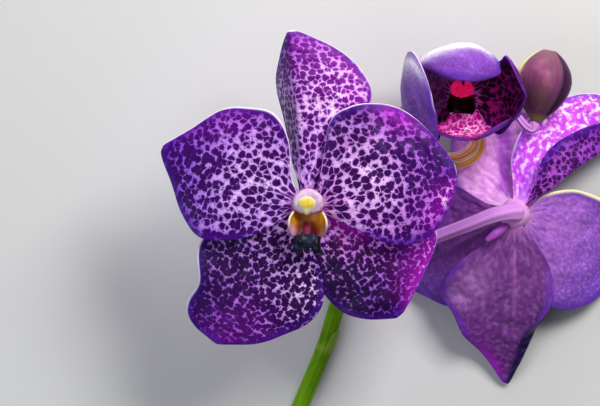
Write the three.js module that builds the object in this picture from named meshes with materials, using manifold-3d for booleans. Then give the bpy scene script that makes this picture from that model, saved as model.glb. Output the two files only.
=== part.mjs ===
// A cut vanda orchid: one flowering stem with an open bloom, a second bloom seen from behind, a bloom
// that is opening and a closed bud. It lies on a flat surface, with the open bloom facing up.
// Millimetres, +Z up. The drawing's own origin is below the middle of the front bloom.
import * as THREE from "three";
import { mergeVertices } from "three/addons/utils/BufferGeometryUtils.js";
import Module from "manifold-3d";

const wasm = await Module();
wasm.setup();

// Centre of the part's box in the drawing, which the finished part is moved by.
const BOX_CENTRE = [31.5, -36.6];

const GAP = 0.3; // clearance between pieces that touch on the real flower
const HUB = { radius: 3.2, back: -3, top: 2.6 }; // where the sepals and petals join the ovary
const BLADE = { edge: 0.8, base: 1.5, along: 12, across: 4, tip: 0.3, bluntness: 10, crease: 0.3 };
const STATIONS = [0, 0.1, 0.22, 0.38, 0.55, 0.72, 0.87, 1]; // where half-widths are given
const THIRDS = [0, 1 / 3, 2 / 3, 1]; // where angles are given

// A blade that is flat and straight where its own values say nothing else. Angles are in degrees.
const PLAIN = {
  foot: 3.5,
  height: 0,
  sweep: [0, 0, 0, 0],
  twist: [0, 0, 0, 0],
  leanLeft: [0, 0, 0, 0],
  leanRight: [0, 0, 0, 0],
  turnLeft: [0, 0, 0, 0],
  turnRight: [0, 0, 0, 0],
  foldLeft: 0,
  foldRight: 0,
  wave: { high: 0, count: 2, left: 0, right: 0.3 },
};

// Each blade starts at a distance of foot from the bloom's axis, at its own angle round it, and runs for
// its length. Rise is the midrib's climb towards the face of the bloom, left and right are half-widths.
// Lean is the tilt of each half at the midrib, and turn what its tilt gains on the way to the margin,
// steadily, or all of it at the share of the half-width that fold gives.
const FRONT_BLADES = {
  dorsal_sepal: {
    angle: 96,
    length: 54,
    foot: 3.4,
    height: -0.5,
    rise: [0, 4, 0, -10],
    left: [2, 2.6, 5.5, 11.5, 16.5, 16.5, 9.5, 4],
    right: [2, 5.5, 10.5, 17.5, 24.5, 22.5, 17, 8],
    leanLeft: [-15, -60, -62, -52],
    turnLeft: [0, -12, -16, -10],
    leanRight: [0, -4, -6, -8],
    turnRight: [0, -6, -10, -14],
    wave: { high: 0.5, count: 2, left: 0.2, right: 0.1 },
  },
  left_petal: {
    angle: 158,
    length: 47.5,
    height: 1.6,
    rise: [14, 5, -3, -10],
    left: [2.5, 9, 15.5, 20, 21.8, 17, 9.5, 5],
    right: [2.5, 6, 17, 23.3, 22.3, 19, 10.5, 4],
    turnLeft: [0, -6, -12, -14],
    turnRight: [0, 6, -8, -16],
    wave: { high: 0.7, count: 2.2, left: 0.1, right: 0.45 },
  },
  right_petal: {
    angle: 14,
    length: 46,
    height: 1.6,
    rise: [14, 6, -2, -12],
    left: [2.5, 12.5, 24.5, 27.7, 27, 24, 17.5, 8],
    right: [2.5, 6, 10.5, 16.5, 19.5, 18.5, 14, 8],
    turnLeft: [0, 4, -10, -16],
    turnRight: [0, -8, -14, -14],
    wave: { high: 0.8, count: 2.4, left: 0.3, right: 0.6 },
  },
  left_sepal: {
    angle: -125,
    length: 50.5,
    foot: 3.6,
    height: -0.5,
    rise: [-8, -5, -8, -14],
    left: [1.6, 5, 15, 21.5, 21.5, 17, 12, 5],
    right: [2.5, 9, 17, 21.5, 21.5, 15.5, 16.5, 19],
    turnLeft: [0, -6, -12, -16],
    turnRight: [0, 6, 20, 10],
    wave: { high: 1.3, count: 2.6, left: 0.1, right: 0.5 },
  },
  right_sepal: {
    angle: -50,
    length: 43,
    foot: 3.6,
    height: -0.6,
    rise: [-13, -5, -6, -12],
    left: [2.5, 8, 14, 20, 25, 26.5, 18, 7],
    right: [1.4, 3.8, 9.5, 13.5, 14.6, 13.7, 9.8, 4],
    turnLeft: [0, -6, -12, -16],
    turnRight: [0, -24, -30, -20],
    wave: { high: 1.1, count: 2.4, left: 0.6, right: 0.2 },
  },
};

const REAR_BLADES = {
  dorsal_sepal: {
    angle: 96,
    length: 51,
    foot: 3.4,
    height: -0.5,
    rise: [8, 18, 21, 12],
    sweep: [-12, 0, 18, 32],
    left: [2, 5.5, 12, 16, 16.5, 15, 12, 7],
    right: [3, 7, 14, 18.5, 18, 17.8, 15.5, 10],
    turnLeft: [-100, -160, -165, -150],
    turnRight: [0, -60, 20, 0],
    foldLeft: 0.33,
    foldRight: 0.72,
    wave: { high: 0.8, count: 2, left: 0.2, right: 0.1 },
  },
  left_petal: {
    angle: 154,
    length: 44,
    height: 1.6,
    rise: [22, 32, 36, 30],
    left: [3, 12, 20, 26.3, 26.5, 23, 17, 9],
    right: [3, 8, 11, 13, 12.5, 11, 8, 5],
    turnLeft: [0, 6, 10, 8],
    turnRight: [0, -10, -14, -10],
    wave: { high: 0.8, count: 2.2, left: 0.1, right: 0.45 },
  },
  right_petal: {
    angle: 36,
    length: 40,
    height: 1.6,
    rise: [20, 24, 15, -3],
    left: [2, 5, 12, 17, 18, 16, 11, 6],
    right: [3, 8, 13, 15.5, 15, 14, 11, 6],
    turnLeft: [0, -8, -10, -6],
    turnRight: [0, -8, -10, -6],
    wave: { high: 0.8, count: 2.4, left: 0.3, right: 0.6 },
  },
  left_sepal: {
    angle: 232,
    length: 58.5,
    foot: 3.6,
    height: -0.8,
    rise: [2, 25, 34, 32],
    left: [1, 4.6, 15.5, 23.5, 19.5, 15.5, 8.5, 3],
    right: [2, 6.5, 9.5, 11, 10.5, 7, 3.5, 2],
    turnLeft: [0, -10, -14, -6],
    turnRight: [0, -10, -150, -165],
    foldRight: 0.74,
    wave: { high: 1.4, count: 2.6, left: 0.1, right: 0.5 },
  },
  right_sepal: {
    angle: 296,
    length: 46,
    foot: 3.6,
    height: -0.4,
    rise: [6, 26, 20, 8],
    left: [2.5, 9, 17, 23, 24, 22, 16, 8],
    right: [1.3, 3, 7, 15, 19.6, 16.5, 9, 4],
    turnLeft: [0, 6, 10, 8],
    turnRight: [0, 4, 10, 8],
    wave: { high: 1.1, count: 2.4, left: 0.6, right: 0.2 },
  },
};

const OPENING_BLADES = {
  dorsal_sepal: {
    angle: 84,
    length: 41,
    foot: 2.8,
    height: -0.9,
    rise: [4, 52, 112, 178],
    left: [1.6, 5, 12, 18, 20, 20.5, 19, 15],
    right: [1.6, 4.4, 8, 10.5, 12.5, 14, 14, 12],
    turnLeft: [10, 40, 65, 50],
    turnRight: [10, 40, 60, 50],
  },
  left_petal: {
    angle: 162,
    length: 24,
    foot: 2.8,
    height: 1,
    rise: [12, 46, 64, 72],
    left: [1.6, 4.6, 9.5, 12.5, 13.5, 13, 11, 7],
    right: [1.6, 4.6, 9.5, 12, 11.6, 9.6, 6.5, 3],
    turnLeft: [0, 30, 45, 45],
    turnRight: [0, 30, 50, 50],
  },
  right_petal: {
    angle: 2,
    length: 29,
    foot: 2.8,
    height: 1,
    rise: [2, 34, 62, 86],
    left: [1.6, 4, 7, 9.5, 12.5, 14.5, 14.5, 11],
    right: [1.6, 4.6, 9.5, 13, 15, 15.5, 15, 12],
    turnLeft: [0, 28, 38, 45],
    turnRight: [0, 30, 50, 60],
  },
  left_sepal: {
    angle: 190,
    length: 43,
    foot: 2.8,
    height: -0.9,
    rise: [-4, 46, 108, 158],
    left: [1.4, 3, 6.5, 10, 14.5, 17.5, 17.5, 14],
    right: [1.6, 5, 11, 16, 18.5, 19, 19.5, 17],
    turnLeft: [0, 30, 50, 40],
    turnRight: [0, 30, 30, 10],
  },
  right_sepal: {
    angle: 293,
    length: 24,
    foot: 2.8,
    height: -0.9,
    rise: [-12, 30, 66, 80],
    sweep: [0, -18, -30, -30],
    left: [1.6, 4.6, 10, 14, 16, 16, 14, 10],
    right: [1.4, 3, 6.6, 10.2, 13, 13.5, 11.5, 7.5],
    turnLeft: [0, 20, 36, 40],
    turnRight: [0, 20, 40, 40],
  },
};

// Where each bloom's hub stands, which way its face looks, and which way its dorsal side points. Heart
// is the size of its hub, column and lip against those of an open bloom, and lipReach how far its lip
// stands out against that of an open bloom.
const BLOOMS = {
  front: {
    at: [0, 0, 50],
    face: [0, 0, 1],
    dorsal: [0, 1, 0],
    heart: 1,
    lipTurn: 3,
    lipReach: 1,
    blades: FRONT_BLADES,
  },
  rear: {
    at: [68.9, -2.3, 19.8],
    face: [0.1, -0.12, -0.985],
    dorsal: [0.62, 0.79, 0],
    heart: 1,
    lipTurn: -6,
    lipReach: 0.72,
    blades: REAR_BLADES,
  },
  opening: {
    at: [51.5, 37, 18],
    face: [-0.06, -0.08, 0.995],
    dorsal: [0, 1, 0],
    heart: 0.75,
    lipTurn: -18,
    lipReach: 0.5,
    blades: OPENING_BLADES,
  },
};

// The stem's middle line as seen from above, from the cut end to the tip, and its radius there. Its
// underside lies on the surface, so its middle is as high as its radius.
const STEM = {
  route: [
    [-30, -128, 3.1],
    [-19.5, -106, 2.95],
    [-9.6, -84.5, 2.85],
    [-2.3, -67.3, 2.8],
    [2.3, -56.2, 2.8],
    [6, -47, 2.75],
    [9.6, -35, 2.7],
    [15, -18.6, 2.5],
    [21.7, 2.3, 2.2],
    [28, 20, 1.9],
    [33.6, 34.4, 1.5],
  ],
  steps: 60,
  sides: 10,
  cut: 35, // how far the cut end is slanted, in degrees
  nodes: [0.17, 0.5, 0.64, 0.82, 0.93], // shares of the length where a bract grows
  bract: { high: 0.7, spread: 0.022 },
};

const STALK_STEPS = 14;
const STALK_SIDES = 8;

// Flower stalks: points from the stem to the hub, then the radius at each. The last two points are the
// back and the top of the hub, and come from the bloom.
const STALKS = {
  front: {
    route: [
      [12.5, -26.5, 3],
      [10.5, -22, 10],
      [6.5, -13, 24],
      [2.2, -4, 37],
      [0, 0, 42.5],
    ],
    radii: [1.5, 1.4, 1.5, 1.9, 2.3],
    side: [1, 0, 0],
  },
  rear: {
    route: [
      [15.5, -18, 3],
      [27, -16.5, 10],
      [43.6, -9.7, 20],
      [54, -5.6, 25.4],
      [61, -2.8, 27.6],
      [65.8, -1.8, 27.2],
      [68.3, -1.9, 25],
    ],
    radii: [1.8, 1.9, 2.1, 2.3, 2.5, 2.7, 3],
    side: [-0.35, 0.93, 0],
  },
  opening: {
    route: [
      [26.5, 16, 2.6],
      [34, 16.5, 7],
      [44, 15.8, 11.6],
      [51.5, 15.8, 13.6],
      [56.4, 19.4, 13.2],
      [57, 26, 11.6],
      [55, 32.4, 10.8],
      [52.3, 36, 12.6],
    ],
    radii: [1.4, 1.5, 2.2, 2.9, 2.9, 2.4, 2, 2],
    side: [0, 0, 1],
  },
  bud: {
    route: [
      [33, 32.8, 2.2],
      [45, 42.5, 5.5],
      [56, 44.5, 8.8],
      [62, 41.8, 12],
      [66, 36.5, 15.6],
      [70, 30.4, 18.8],
      [72.6, 27, 19.4],
      [74.9, 25.9, 18.6],
      [76, 27.6, 17.9],
    ],
    radii: [1.1, 1.1, 1.1, 1.1, 1.2, 1.3, 1.4, 1.5, 1.8],
    side: [0, 0, 1],
  },
};

const BUD = {
  base: [76.2, 28.6, 17.8],
  tip: [80.8, 52.2, 17.6],
  halfWidth: 9.4,
  span: [0.05, 0.97], // the shares of a full egg shape at which its two ends are cut flat
  groove: { depth: 0.8, width: 0.3, turn: 0.9 }, // between each two of its sepals
  sides: 18,
  steps: 12,
};

const COLUMN = {
  heights: [HUB.top + GAP, 4, 5.6, 7.2, 8.2, 8.7],
  halfWidths: [4.2, 5, 5.1, 5, 4.7, 4.2],
  halfDepths: [3.8, 4.2, 4.3, 4.2, 4, 3.5],
  middle: 1.7,
  sides: 12,
};
const CAP = {
  middle: [-0.4, 1.1],
  halfWidth: 3,
  halfDepth: 2.4,
  beak: 1.2,
  high: 1.6,
  base: COLUMN.heights.at(-1) + GAP,
  rings: [0, 0.35, 0.7, 0.92], // shares of its height
  sides: 14,
};

const LIP = {
  cup: {
    from: -3.2,
    to: -9.4,
    halfWidths: [5.4, 6.3, 6.5, 6.4, 6],
    floor: [3.4, 3.5, 4.1, 4.9, 5.8],
    high: [5.4, 6.2, 6, 4.9, 3],
    wrap: 104, // how far round its section goes on each side, in degrees
    thickness: 0.8,
    along: 6,
    across: 5,
  },
  lobe: {
    start: [0, -6.5, 1.8],
    steps: [
      [0, 0, 0],
      [0, -1.8, 1.9],
      [0, -4.2, 3.6],
      [0, -7.2, 3.6],
      [0, -9.4, 1.6],
    ],
    halfWidths: [2.2, 4, 5, 5, 4],
    halfDepths: [1.1, 1.4, 1.7, 1.8, 1.4],
    groove: 0.6,
    notch: 2.6,
    roundedFrom: 0.72, // the share of its length from which its end is rounded off
    rings: 9,
  },
  spur: {
    neck: [
      [0, -5.2, 3.6],
      [0, -5.3, 0.5],
      [0, -5.4, -2.4],
    ],
    steps: [
      [0, -1.4, -3.6],
      [0, -4, -6.2],
    ],
    radii: [0.75, 0.75, 0.9, 2, 1],
    rings: 7,
    sides: 8,
  },
  sides: 12,
};

const COLOURS = {
  petal: "#6a2fb5",
  sepal: "#5a259c",
  column: "#ead9f2",
  cap: "#e8d24a",
  lip: "#2a1040",
  stalk: "#b98ac8",
  stem: "#5f9a2c",
  bud: "#7b5478",
};

const finish = (colour, roughness) => new THREE.MeshStandardMaterial({ color: colour, roughness });
const FINISHES = {
  petal: finish(COLOURS.petal, 0.5),
  sepal: finish(COLOURS.sepal, 0.5),
  column: finish(COLOURS.column, 0.45),
  cap: finish(COLOURS.cap, 0.4),
  lip: finish(COLOURS.lip, 0.25),
  stalk: finish(COLOURS.stalk, 0.5),
  stem: finish(COLOURS.stem, 0.45),
  bud: finish(COLOURS.bud, 0.5),
};

const vector = (list) => new THREE.Vector3(...list);
const radians = THREE.MathUtils.degToRad;

// A smooth curve through values given at rising stations: a cubic between each pair of them, whose
// slope at a station is that of the line between its two neighbours.
function smooth(at, values, x) {
  const last = at.length - 1;
  const slope = (k) => {
    const before = Math.max(k - 1, 0);
    const after = Math.min(k + 1, last);
    return (values[after] - values[before]) / (at[after] - at[before]);
  };
  let i = 0;
  while (i < last - 1 && x > at[i + 1]) i += 1;
  const span = at[i + 1] - at[i];
  const t = (x - at[i]) / span;
  const start = (1 + 2 * t) * (1 - t) ** 2 * values[i] + t * (1 - t) ** 2 * span * slope(i);
  const end = t * t * (3 - 2 * t) * values[i + 1] + t * t * (t - 1) * span * slope(i + 1);
  return start + end;
}

const bend = (angles, u) => radians(smooth(THIRDS, angles, u));

// The midrib is the sum of small steps whose direction rises and sweeps by the blade's angles. Each
// place on it gives a point, the direction across to the left, and the direction of the blade's face.
function midrib(shape, stations) {
  const steps = 240;
  const angle = radians(shape.angle);
  const out = new THREE.Vector3(Math.cos(angle), Math.sin(angle), 0);
  const side = new THREE.Vector3(-Math.sin(angle), Math.cos(angle), 0);
  const up = new THREE.Vector3(0, 0, 1);
  const heading = (u) => {
    const rise = bend(shape.rise, u);
    const sweep = bend(shape.sweep, u);
    const flat = out.clone().multiplyScalar(Math.cos(sweep)).addScaledVector(side, Math.sin(sweep));
    return flat.multiplyScalar(Math.cos(rise)).addScaledVector(up, Math.sin(rise));
  };
  const points = [out.clone().multiplyScalar(shape.foot).addScaledVector(up, shape.height)];
  for (let i = 0; i < steps; i += 1) {
    points.push(points[i].clone().addScaledVector(heading((i + 0.5) / steps), shape.length / steps));
  }
  return stations.map((u) => {
    const k = Math.min(Math.floor(u * steps), steps - 1);
    const point = points[k].clone().lerp(points[k + 1], u * steps - k);
    const sweep = bend(shape.sweep, u);
    const across = side.clone().multiplyScalar(Math.cos(sweep)).addScaledVector(out, -Math.sin(sweep));
    const facing = heading(u).cross(across);
    const twist = bend(shape.twist, u);
    const turned = across.clone().multiplyScalar(Math.cos(twist)).addScaledVector(facing, Math.sin(twist));
    facing.multiplyScalar(Math.cos(twist)).addScaledVector(across, -Math.sin(twist));
    return { u, point, across: turned, facing };
  });
}

// The share of its turn that a half-blade has made at a share r of its width.
function turnedAt(r, fold) {
  return fold ? THREE.MathUtils.smoothstep(r, fold - BLADE.crease / 2, fold + BLADE.crease / 2) : r;
}

// One point of a blade's middle surface. Across each half it is the sum of small steps whose tilt goes
// from lean to lean plus turn, and a wave lifts it more the nearer it is to the margin.
function bladePoint(shape, place, v) {
  const { u } = place;
  const side = v < 0 ? "right" : "left";
  const hand = side === "left" ? "Left" : "Right";
  const width = smooth(STATIONS, shape[side], u) * Math.sqrt(1 - u ** BLADE.bluntness) + BLADE.tip;
  const lean = bend(shape["lean" + hand], u);
  const turn = bend(shape["turn" + hand], u);
  const r = Math.abs(v);
  const steps = 24;
  let reach = 0;
  let lift = 0;
  for (let i = 0; i < steps; i += 1) {
    const tilt = lean + turn * turnedAt((r * (i + 0.5)) / steps, shape["fold" + hand]);
    reach += (width * r * Math.cos(tilt)) / steps;
    lift += (width * r * Math.sin(tilt)) / steps;
  }
  const phase = 2 * Math.PI * (shape.wave.count * u + shape.wave[side]);
  const ripple = shape.wave.high * r * r * Math.sin(Math.PI * Math.min(u, 1)) ** 0.7 * Math.sin(phase);
  return place.point
    .clone()
    .addScaledVector(place.across, Math.sign(v) * reach)
    .addScaledVector(place.facing, lift + ripple);
}

function meshGeometry(points, faces) {
  const geometry = new THREE.BufferGeometry();
  const numbers = points.flatMap((p) => p.toArray());
  geometry.setAttribute("position", new THREE.Float32BufferAttribute(numbers, 3));
  geometry.setIndex(faces);
  return geometry;
}

// A closed body from a middle surface of rows and columns of points: thickened along its normals, with
// the same triangles on both faces and a strip round the margin.
function leafGeometry(grid, halfThicknesses) {
  const rows = grid.length - 1;
  const columns = grid[0].length - 1;
  const points = grid.flat();
  const halves = halfThicknesses.flat();
  const at = (i, j) => i * (columns + 1) + j;
  const faces = [];
  for (let i = 0; i < rows; i += 1) {
    for (let j = 0; j < columns; j += 1) {
      faces.push(at(i, j), at(i + 1, j), at(i + 1, j + 1), at(i, j), at(i + 1, j + 1), at(i, j + 1));
    }
  }
  const middle = meshGeometry(points, faces);
  middle.computeVertexNormals();
  const normals = points.map((_, k) => new THREE.Vector3().fromBufferAttribute(middle.attributes.normal, k));
  const face = points.map((p, k) => p.clone().addScaledVector(normals[k], halves[k]));
  const back = points.map((p, k) => p.clone().addScaledVector(normals[k], -halves[k]));
  const count = points.length;
  const turned = [];
  for (let k = 0; k < faces.length; k += 3) {
    turned.push(faces[k] + count, faces[k + 2] + count, faces[k + 1] + count);
  }
  const margin = [];
  for (let i = 0; i < rows; i += 1) margin.push(at(i, 0));
  for (let j = 0; j < columns; j += 1) margin.push(at(rows, j));
  for (let i = rows; i > 0; i -= 1) margin.push(at(i, columns));
  for (let j = columns; j > 0; j -= 1) margin.push(at(0, j));
  const strip = margin.flatMap((p, k) => {
    const q = margin[(k + 1) % margin.length];
    return [p + count, q + count, q, p + count, q, p];
  });
  return meshGeometry([...face, ...back], [...faces, ...turned, ...strip]);
}

// A sepal or petal: thicker near its base and its midrib than at its margin.
function bladeGeometry(values) {
  const shape = { ...PLAIN, ...values };
  const stations = Array.from({ length: BLADE.along + 1 }, (_, i) => {
    return 0.5 * (i / BLADE.along) + 0.5 * Math.sin((Math.PI / 2) * (i / BLADE.along));
  });
  const shares = Array.from({ length: 2 * BLADE.across + 1 }, (_, j) => j / BLADE.across - 1);
  const grid = midrib(shape, stations).map((place) => shares.map((v) => bladePoint(shape, place, v)));
  const extra = BLADE.base - BLADE.edge;
  const halfAt = (u, v) => 0.5 * (BLADE.edge + extra * (1 - u) ** 3 * (1 - v * v));
  const halves = stations.map((u) => shares.map((v) => halfAt(u, v)));
  return leafGeometry(grid, halves);
}

// A closed body through rings of equally many points, each turning right-handed about the way ahead.
function loft(rings) {
  const sides = rings[0].length;
  const points = rings.flat();
  const middle = (ring) => ring.reduce((sum, p) => sum.add(p), new THREE.Vector3()).divideScalar(sides);
  const first = points.push(middle(rings[0])) - 1;
  const last = points.push(middle(rings.at(-1))) - 1;
  const top = (rings.length - 1) * sides;
  const faces = [];
  for (let j = 0; j < sides; j += 1) {
    const k = (j + 1) % sides;
    for (let i = 0; i < top; i += sides) {
      faces.push(i + j, i + k, i + sides + j, i + k, i + sides + k, i + sides + j);
    }
    faces.push(first, k, j, last, top + j, top + k);
  }
  return meshGeometry(points, faces);
}

// A path through points, as a function of its share of the length from point to point.
function pathThrough(points) {
  const shares = [0];
  points.slice(1).forEach((p, i) => shares.push(shares[i] + p.distanceTo(points[i])));
  const stations = shares.map((s) => s / shares.at(-1));
  const at = (u) => vector(["x", "y", "z"].map((axis) => smooth(stations, points.map((p) => p[axis]), u)));
  const heading = (u) => at(Math.min(u + 1e-3, 1)).sub(at(Math.max(u - 1e-3, 0))).normalize();
  return { stations, at, heading };
}

// Rings along a path. The outline gives a ring's points across, towards the given side turned square to
// the path, and through, square to both.
function ringsAlong(path, side, steps, outline) {
  return Array.from({ length: steps + 1 }, (_, i) => {
    const u = i / steps;
    const heading = path.heading(u);
    const across = side.clone().addScaledVector(heading, -side.dot(heading)).normalize();
    const through = heading.clone().cross(across);
    return outline(u).map(([a, b, ahead = 0]) => {
      const point = path.at(u).addScaledVector(across, a).addScaledVector(through, b);
      return point.addScaledVector(heading, ahead);
    });
  });
}

const circle = (sides) => Array.from({ length: sides }, (_, j) => (2 * Math.PI * j) / sides);

function stalkGeometry(points, radii, side, steps, sides) {
  const path = pathThrough(points);
  return loft(
    ringsAlong(path, side, steps, (u) => {
      const radius = smooth(path.stations, radii, u);
      return circle(sides).map((t) => [radius * Math.cos(t), radius * Math.sin(t)]);
    }),
  );
}

// The stem lies on its underside. A bract stands out of it at each node, on the sides in turn.
function stemGeometry(extra = 0) {
  const path = pathThrough(STEM.route.map(([x, y, r]) => new THREE.Vector3(x, y, r)));
  const radii = STEM.route.map(([, , r]) => r);
  return loft(
    ringsAlong(path, new THREE.Vector3(0, 0, 1), STEM.steps, (u) => {
      const radius = smooth(path.stations, radii, u) + extra;
      const slant = Math.tan(radians(STEM.cut)) * Math.max(0, 1 - u * STEM.steps);
      return circle(STEM.sides).map((t) => {
        const swelling = STEM.nodes.map((node, k) => {
          const near = Math.exp(-(((u - node) / STEM.bract.spread) ** 2));
          return STEM.bract.high * near * Math.max(0, Math.cos(t) * 0.5 + (k % 2 ? 1 : -1) * Math.sin(t));
        });
        const r = radius + swelling.reduce((a, b) => a + b, 0);
        return [r * Math.cos(t), r * Math.sin(t), slant * r * Math.cos(t)];
      });
    }),
  );
}

function columnGeometry() {
  const rings = COLUMN.heights.map((z, i) => {
    return circle(COLUMN.sides).map((t) => {
      const y = COLUMN.middle + COLUMN.halfDepths[i] * Math.sin(t);
      return new THREE.Vector3(COLUMN.halfWidths[i] * Math.cos(t), y, z);
    });
  });
  return loft(rings);
}

// The anther cap: a dome whose outline runs out in a beak at the front.
function capGeometry() {
  const rings = CAP.rings.map((height) => {
    const share = Math.sqrt(1 - height * height);
    return circle(CAP.sides).map((t) => {
      const front = Math.exp(-((Math.atan2(Math.cos(t), -Math.sin(t)) / 0.52) ** 4));
      const x = CAP.middle[0] + CAP.halfWidth * share * Math.cos(t) * (1 - 0.25 * front);
      const y = CAP.middle[1] + (CAP.halfDepth * Math.sin(t) - CAP.beak * front) * share;
      return new THREE.Vector3(x, y, CAP.base + CAP.high * height);
    });
  });
  return loft(rings);
}

// The lip's cup: a trough from the column to the middle lobe, whose section is an arc that rises to a
// wing on each side.
function cupGeometry() {
  const { from, to, halfWidths, floor, high, wrap, thickness, along, across } = LIP.cup;
  const stations = halfWidths.map((_, k) => k / (halfWidths.length - 1));
  const shares = Array.from({ length: 2 * across + 1 }, (_, j) => 1 - j / across);
  const grid = Array.from({ length: along + 1 }, (_, i) => {
    const a = 1 - i / along;
    return shares.map((v) => {
      const angle = radians(wrap) * v;
      const lift = (1 - Math.cos(angle)) / (1 - Math.cos(radians(wrap)));
      const x = smooth(stations, halfWidths, a) * Math.sin(angle);
      const z = smooth(stations, floor, a) + smooth(stations, high, a) * lift;
      return new THREE.Vector3(x, from + (to - from) * a, z);
    });
  });
  return leafGeometry(grid, grid.map((row) => row.map(() => thickness / 2)));
}

// The lip's middle lobe: oval rings with a groove along the face, rounded off and notched at the end.
function lobeGeometry(reach) {
  const { start, steps, halfWidths, halfDepths, groove, notch, roundedFrom, rings } = LIP.lobe;
  const path = pathThrough(steps.map((step) => vector(start).addScaledVector(vector(step), reach)));
  return loft(
    ringsAlong(path, new THREE.Vector3(1, 0, 0), rings, (u) => {
      const beyond = Math.max(0, (u - roundedFrom) / (1.005 - roundedFrom));
      const end = Math.sqrt(1 - beyond ** 2);
      const a = smooth(path.stations, halfWidths, u) * end;
      const b = smooth(path.stations, halfDepths, u) * end;
      return circle(LIP.sides).map((t) => {
        const x = a * Math.cos(t);
        const cut = groove * Math.max(0, Math.sin(t)) * Math.exp(-x * x) * end;
        return [x, b * Math.sin(t) - cut, notch * u * u * (Math.abs(Math.cos(t)) - 0.2)];
      });
    }),
  );
}

function solid(geometry) {
  const merged = mergeVertices(geometry, 1e-4);
  const vertProperties = merged.attributes.position.array;
  const triVerts = new Uint32Array(merged.index.array);
  return new wasm.Manifold(new wasm.Mesh({ numProp: 3, vertProperties, triVerts }));
}

function geometryOf(made) {
  const mesh = made.getMesh();
  const geometry = new THREE.BufferGeometry();
  geometry.setAttribute("position", new THREE.BufferAttribute(mesh.vertProperties, 3));
  geometry.setIndex(new THREE.BufferAttribute(mesh.triVerts, 1));
  return geometry;
}

// The lip: a cup, a middle lobe in front of it and a spur behind, grown together.
function lipGeometry(reach) {
  const { neck, steps, radii, rings, sides } = LIP.spur;
  const tail = steps.map((step) => vector(neck.at(-1)).addScaledVector(vector(step), reach));
  const route = [...neck.map(vector), ...tail];
  const spur = stalkGeometry(route, radii, new THREE.Vector3(1, 0, 0), rings, sides);
  const lobe = solid(lobeGeometry(reach));
  return geometryOf(lobe.add(solid(cupGeometry())).add(solid(spur)));
}

// A closed bud: an egg shape round its axis, with a groove between each two of its three sepals.
function budGeometry() {
  const { depth, width, turn } = BUD.groove;
  const ends = [vector(BUD.base), vector(BUD.tip)];
  const path = pathThrough([ends[0], ends[0].clone().lerp(ends[1], 0.5), ends[1]]);
  return loft(
    ringsAlong(path, new THREE.Vector3(0, 0, 1), BUD.steps, (u) => {
      const along = THREE.MathUtils.lerp(...BUD.span, u);
      const full = BUD.halfWidth * Math.sin(Math.PI * along ** 1.25) ** 0.66;
      return circle(BUD.sides).map((t) => {
        const near = Math.exp(-((Math.sin(1.5 * t + turn) / width) ** 2));
        const radius = full - depth * Math.sin(Math.PI * along) * near;
        return [radius * Math.cos(t), radius * Math.sin(t)];
      });
    }),
  );
}

function piece(name, geometry, material) {
  const mesh = new THREE.Mesh(geometry, material);
  mesh.name = name;
  return mesh;
}

// A bloom's own frame: +Z is the way its face looks, +Y its dorsal side.
function bloomFrame({ at, face, dorsal }) {
  const z = vector(face).normalize();
  const y = vector(dorsal).addScaledVector(z, -vector(dorsal).dot(z)).normalize();
  return new THREE.Matrix4().makeBasis(y.clone().cross(z), y, z).setPosition(vector(at));
}

function bloomGroup(name, bloom) {
  const group = new THREE.Group();
  for (const [part, shape] of Object.entries(bloom.blades)) {
    const finishName = part.endsWith("petal") ? "petal" : "sepal";
    group.add(piece(`${name}_${part}`, bladeGeometry(shape), FINISHES[finishName]));
  }
  const heart = new THREE.Group();
  heart.scale.setScalar(bloom.heart);
  heart.add(piece(`${name}_column`, columnGeometry(), FINISHES.column));
  heart.add(piece(`${name}_anther_cap`, capGeometry(), FINISHES.cap));
  const lip = piece(`${name}_lip`, lipGeometry(bloom.lipReach), FINISHES.lip);
  lip.rotation.z = radians(bloom.lipTurn);
  heart.add(lip);
  group.add(heart);
  group.applyMatrix4(bloomFrame(bloom));
  return group;
}

// A flower stalk with its ovary, cut back from the stem that it grows on by the usual gap.
function stalkPiece(name, points, radii, side, room) {
  const whole = solid(stalkGeometry(points, radii, vector(side), STALK_STEPS, STALK_SIDES));
  const bodies = whole.subtract(room).decompose();
  bodies.sort((a, b) => b.volume() - a.volume());
  return piece(`${name}_stalk`, geometryOf(bodies[0]), FINISHES.stalk);
}

function makeOrchid() {
  const orchid = new THREE.Group();
  orchid.add(piece("stem", stemGeometry(), FINISHES.stem));
  const stemRoom = solid(stemGeometry(GAP));
  for (const [name, bloom] of Object.entries(BLOOMS)) {
    orchid.add(bloomGroup(name, bloom));
    const frame = bloomFrame(bloom);
    const hub = [HUB.back, HUB.top].map((z) => new THREE.Vector3(0, 0, z * bloom.heart).applyMatrix4(frame));
    const hubRadius = HUB.radius * bloom.heart;
    const { route, radii, side } = STALKS[name];
    const points = [...route.map(vector), ...hub];
    orchid.add(stalkPiece(name, points, [...radii, hubRadius - 0.2, hubRadius], side, stemRoom));
  }
  const { route, radii, side } = STALKS.bud;
  orchid.add(stalkPiece("bud", route.map(vector), radii, side, stemRoom));
  orchid.add(piece("bud", budGeometry(), FINISHES.bud));
  orchid.position.set(-BOX_CENTRE[0], -BOX_CENTRE[1], 0);
  return orchid;
}

export default makeOrchid();
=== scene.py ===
from math import cos, pi, radians, sin, tan

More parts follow.
